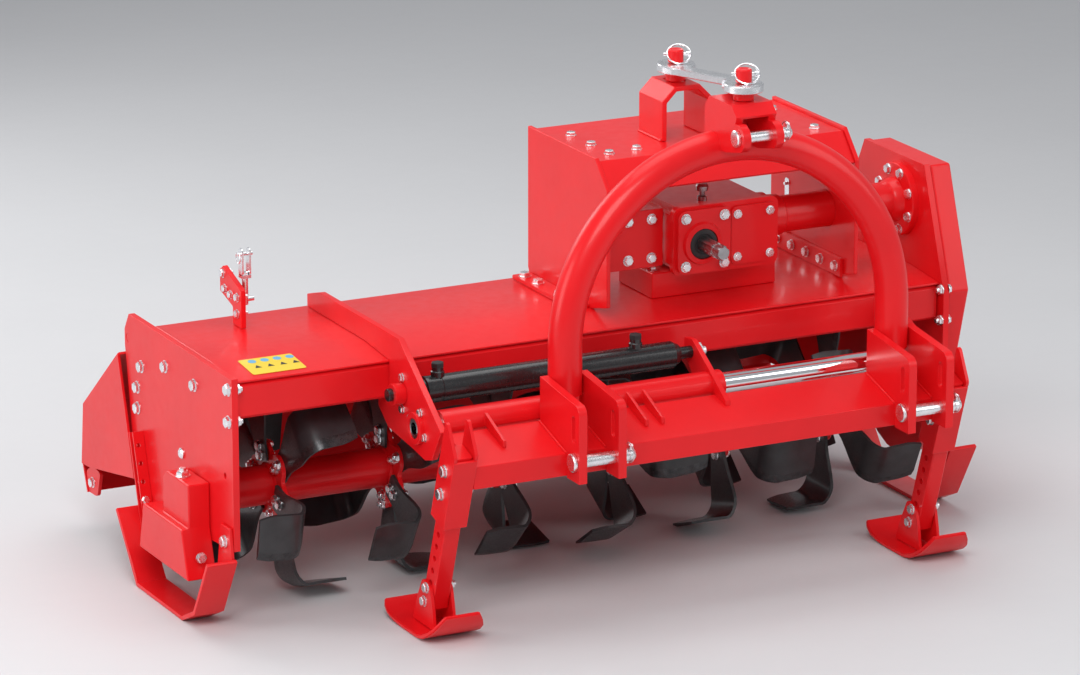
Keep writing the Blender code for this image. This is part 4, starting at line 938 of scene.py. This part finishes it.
# ---------------------------------------------------------------- top link
def top_link():
    """A forged flat link that widens towards its two turned eyes."""
    front, rear = middle("link_front_pin"), middle("link_rear_pin")
    low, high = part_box("top_link")
    half_thick, half_wide, eye, bore = 0.009, 0.021, 0.044, 0.0125
    front = Vector((front.x, front.y, high[2] - half_thick - 0.0005))
    rear = Vector((rear.x, rear.y, low[2] + half_thick + 0.0005))
    run = rear - front
    total = hypot(run.x, run.y)
    flat = Vector((run.x, run.y, 0)) / total
    side = Vector((flat.y, -flat.x, 0))
    shape = bmesh.new()
    rings = []
    for k in range(25):
        along = total * (0.062 + 0.876 * k / 24)
        end = min(along, total - along)
        wide = half_wide
        if end < 0.067:
            wide += 0.019 * max(0, 1 - (end - 0.032) / 0.035) ** 2
        rise = run.z * min(max((along - 0.050) / (total - 0.100), 0), 1)
        spot = front + flat * along + Vector((0, 0, rise))
        upper = [(wide, 0.0065), (wide - 0.003, half_thick), (-wide + 0.003, half_thick), (-wide, 0.0065)]
        section = [(-u, -v) for u, v in upper] + upper
        rings.append([shape.verts.new(spot + Vector((0, 0, v)) + side * u) for u, v in section])
    bridge(shape, rings)
    ring = [(eye - 0.002, -0.009), (eye, -0.007), (eye, 0.007), (eye - 0.002, 0.009), (bore + 0.001, 0.009),
            (bore, 0.008), (bore, -0.008), (bore + 0.001, -0.009)]
    for spot in (front, rear):
        add_lathe(shape, ring, Matrix.Translation(spot), 48)
    replace_node("top_link_forged", shape, "top_link", [ZINC], 30)
    link_pin("link_front_pin", front)
    link_pin("link_rear_pin", rear)


def link_pin(node, eye):
    """An upright pin with a painted head, a washer under the link's eye and a linch pin."""
    foot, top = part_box(node)[0][2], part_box(node)[1][2]
    head, washer, radius = eye.z + 0.0115, eye.z - 0.0112, 0.0118
    profile = [(0, top), (0.0155, top), (0.018, top - 0.0025), (0.018, head + 0.001), (0.017, head),
               (radius, head), (radius, washer), (0.022, washer), (0.023, washer - 0.0013),
               (0.023, foot + 0.0252), (radius, foot + 0.0252), (radius, foot + 0.002), (0.0100, foot),
               (0, foot)]
    shape = bmesh.new()
    add_lathe(shape, profile, Matrix.Translation((eye.x, eye.y, 0)), 36)
    replace_node(f"{node}_turned", shape, node, [RED], 30)
    linch = bmesh.new()
    add_linch(linch, Vector((eye.x, eye.y, top - 0.012)), (0.92, -0.38, 0.0), (-0.25, -0.60, 0.76), 0.0215)
    put(f"{node}_ring", linch, "top_link", [ZINC], 30)


# ---------------------------------------------------------------- parking stands
STAND_TOP_Y, STAND_TOP_Z = -0.290, 0.440
STAND_RUN = 0.33             # a leg leans back this much for each metre down
STAND_SLOPE = Vector((0, -0.3134, 0.9496))
ANKLE_Z = 0.030
ANKLE_Y = STAND_TOP_Y + STAND_RUN * (STAND_TOP_Z - ANKLE_Z)


def stand_leg(node, leg_frame):
    """A square leg with a row of holes for its height."""
    length, half_x, half_y = 0.400, 0.020, 0.025
    leg, holes = bmesh.new(), bmesh.new()
    outline = rounded(rectangle(-half_x, -half_y, half_x, half_y), 0.005, 3)
    add_prism(leg, outline, length, leg_frame @ Matrix.Translation((0, 0, -length / 2)))
    for k in range(6):
        place = leg_frame @ Matrix.Translation((0, 0, -0.215 - 0.032 * k)) @ ALONG_X
        add_lathe(holes, rod(0.007, -0.05, 0.05), place, 20)
    replace_node(f"{node}_leg", carve(leg, holes), node, [RED], 30)


def stand_bracket(node, x):
    """Two cheeks that hold the leg's foot."""
    cheeks = bmesh.new()
    outline = [(ANKLE_Y - 0.060, 0.012), (ANKLE_Y + 0.048, 0.012), (ANKLE_Y + 0.028, 0.062),
               (ANKLE_Y - 0.002, 0.118), (ANKLE_Y - 0.040, 0.106), (ANKLE_Y - 0.052, 0.060)]
    for side in (-1, 1):
        add_prism(cheeks, rounded(outline, 0.008, 3), 0.007, side_on(x + side * 0.0242, FRONT))
    put(f"{node}_bracket", cheeks, node, [RED], 30)


def stand_shoe(node, x, half_wide):
    """A ski bent up and drawn in at both ends, from (y, z, share of its width)."""
    path = [(-0.150, 0.070, 0.62), (-0.138, 0.050, 0.80), (-0.122, 0.031, 0.93), (-0.100, 0.016, 1.0),
            (-0.078, 0.006, 1.0), (-0.052, 0.0005, 1.0), (0.030, 0.0005, 1.0), (0.066, 0.003, 1.0),
            (0.098, 0.010, 1.0), (0.120, 0.019, 0.94), (0.135, 0.028, 0.84)]
    thick = 0.009
    shoe = bmesh.new()
    rings = []
    for k, (y, z, share) in enumerate(path):
        before, after = path[max(k - 1, 0)], path[min(k + 1, len(path) - 1)]
        along = Vector((0, after[0] - before[0], after[1] - before[1])).normalized()
        up = Vector((0, -along.z, along.y)) * thick
        out = Vector((half_wide * share, 0, 0))
        spot = at(x, ANKLE_Y + y, z)
        corners = (spot - out, spot + out, spot + out + up, spot - out + up)
        rings.append([shoe.verts.new(corner) for corner in corners])
    bridge(shoe, rings)
    bmesh.ops.recalc_face_normals(shoe, faces=shoe.faces)
    edges = [e for e in shoe.edges if len(e.link_faces) == 2 and e.calc_face_angle() > radians(50)]
    bmesh.ops.bevel(shoe, geom=edges, offset=0.002, segments=2, affect="EDGES")
    put(f"{node}_shoe", shoe, node, [RED], 30)


def stand(name):
    """A parking stand and its guide's cheeks, with the bolts at both ends."""
    node, guide = f"{name}_stand", f"{name}_stand_guide"
    low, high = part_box(node)
    guide_low, guide_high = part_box(guide)
    x = (low[0] + high[0]) / 2
    top = at(x, STAND_TOP_Y, STAND_TOP_Z)
    leg_frame = Matrix.Translation(top) @ Matrix.Rotation(atan2(STAND_RUN, 1.0), 4, "X")
    stand_leg(node, leg_frame)
    stand_bracket(node, x)
    stand_shoe(node, x, (high[0] - low[0]) / 2)
    rows = []
    for share in (0.040, 0.076):
        spot = at(x, ANKLE_Y, ANKLE_Z) + STAND_SLOPE * share
        for side in (-1, 1):
            rows.append((spot + Vector((side * 0.0277, 0, 0)), (side, 0, 0), 0.012, side > 0))
    bolts(f"{node}_bolts", node, rows)

    half = 0.0325
    outline = rounded([(-half, -0.006), (half, -0.006), (half, 0.062), (0.022, 0.062), (-half, 0.008)],
                      0.004, 2)
    edges = ((-1, guide_low[0]), (1, guide_high[0]))
    cheeks = bmesh.new()
    for side, edge in edges:
        offset = Matrix.Translation((edge - side * 0.0039 - x, 0, 0))
        add_prism(cheeks, outline, 0.0074, offset @ leg_frame @ side_on(0))
    put(f"{node}_guide_cheeks", cheeks, guide, [RED], 30)
    rows = []
    for down in (0.045, 0.105):
        spot = top - STAND_SLOPE * down
        rows += [(Vector((edge, spot.y, spot.z)), (side, 0, 0), 0.014, side > 0) for side, edge in edges]
    bolts(f"{node}_guide_bolts", guide, rows)


# ---------------------------------------------------------------- studio
def studio():
    """A pale floor, a grey world and five soft lamps."""
    floor_mesh = bpy.data.meshes.new("floor")
    shape = bmesh.new()
    half_floor = 30
    bmesh.ops.create_grid(shape, x_segments=1, y_segments=1, size=half_floor)
    shape.to_mesh(floor_mesh)
    shape.free()
    floor = bpy.data.objects.new("floor", floor_mesh)
    bpy.context.scene.collection.objects.link(floor)
    floor.location.z = -0.0005
    floor_mesh.materials.append(material("pale_floor", (0.66, 0.66, 0.67), 0.60, shade=0.01, grain=2))

    bpy.context.scene.view_settings.view_transform = "Standard"
    world = bpy.data.worlds.new("studio")
    bpy.context.scene.world = world
    world.use_nodes = True
    backdrop = world.node_tree.nodes["Background"]
    backdrop.inputs["Color"].default_value = (0.86, 0.88, 0.92, 1)
    backdrop.inputs["Strength"].default_value = 0.44

    lamps = [("key", (-2.6, -3.4, 4.2), 2.6, 140), ("fill", (3.6, -3.0, 2.4), 3.0, 60),
             ("top", (0.2, 0.6, 4.6), 3.4, 80), ("rim", (-1.5, 4.0, 2.6), 2.5, 60),
             ("side", (-5.0, 0.4, 1.6), 2.5, 70)]
    for name, place, size, power in lamps:
        data = bpy.data.lights.new(name, "AREA")
        data.size = size
        data.energy = power
        lamp = bpy.data.objects.new(name, data)
        lamp.location = place
        aim = Vector((0, 0, 0.45)) - Vector(place)
        lamp.rotation_euler = aim.to_track_quat("-Z", "Y").to_euler()
        bpy.context.scene.collection.objects.link(lamp)


def camera():
    """A long lens, looking from the front left as in the photo."""
    azimuth, elevation = radians(-26.7), radians(16.3)
    forward = Vector((-sin(azimuth) * cos(elevation), cos(azimuth) * cos(elevation), -sin(elevation)))
    target = at(-0.105, 0.100, 0.545)
    seen_width = 2.4226
    data = bpy.data.cameras.new("camera")
    data.sensor_width = 36
    data.lens = 180
    distance = data.lens / data.sensor_width * seen_width
    eye = bpy.data.objects.new("camera", data)
    eye.location = target - forward * distance
    eye.rotation_euler = forward.to_track_quat("-Z", "Y").to_euler()
    data.clip_end = 100
    bpy.context.scene.collection.objects.link(eye)
    bpy.context.scene.camera = eye


body_panels()
panel_bolts()
decal()
gear_case()
rotor()
bar_and_rod()
side_cylinder()
headstock()
gearbox()
gearbox_fittings()
pto_shaft()
drive_tube()
low_ends()
tailgate()
adjusters()
hitch_frame()
arch()
fork()
frame_welds()
top_link()
for side_name in ("left", "right"):
    stand(side_name)
studio()
camera()
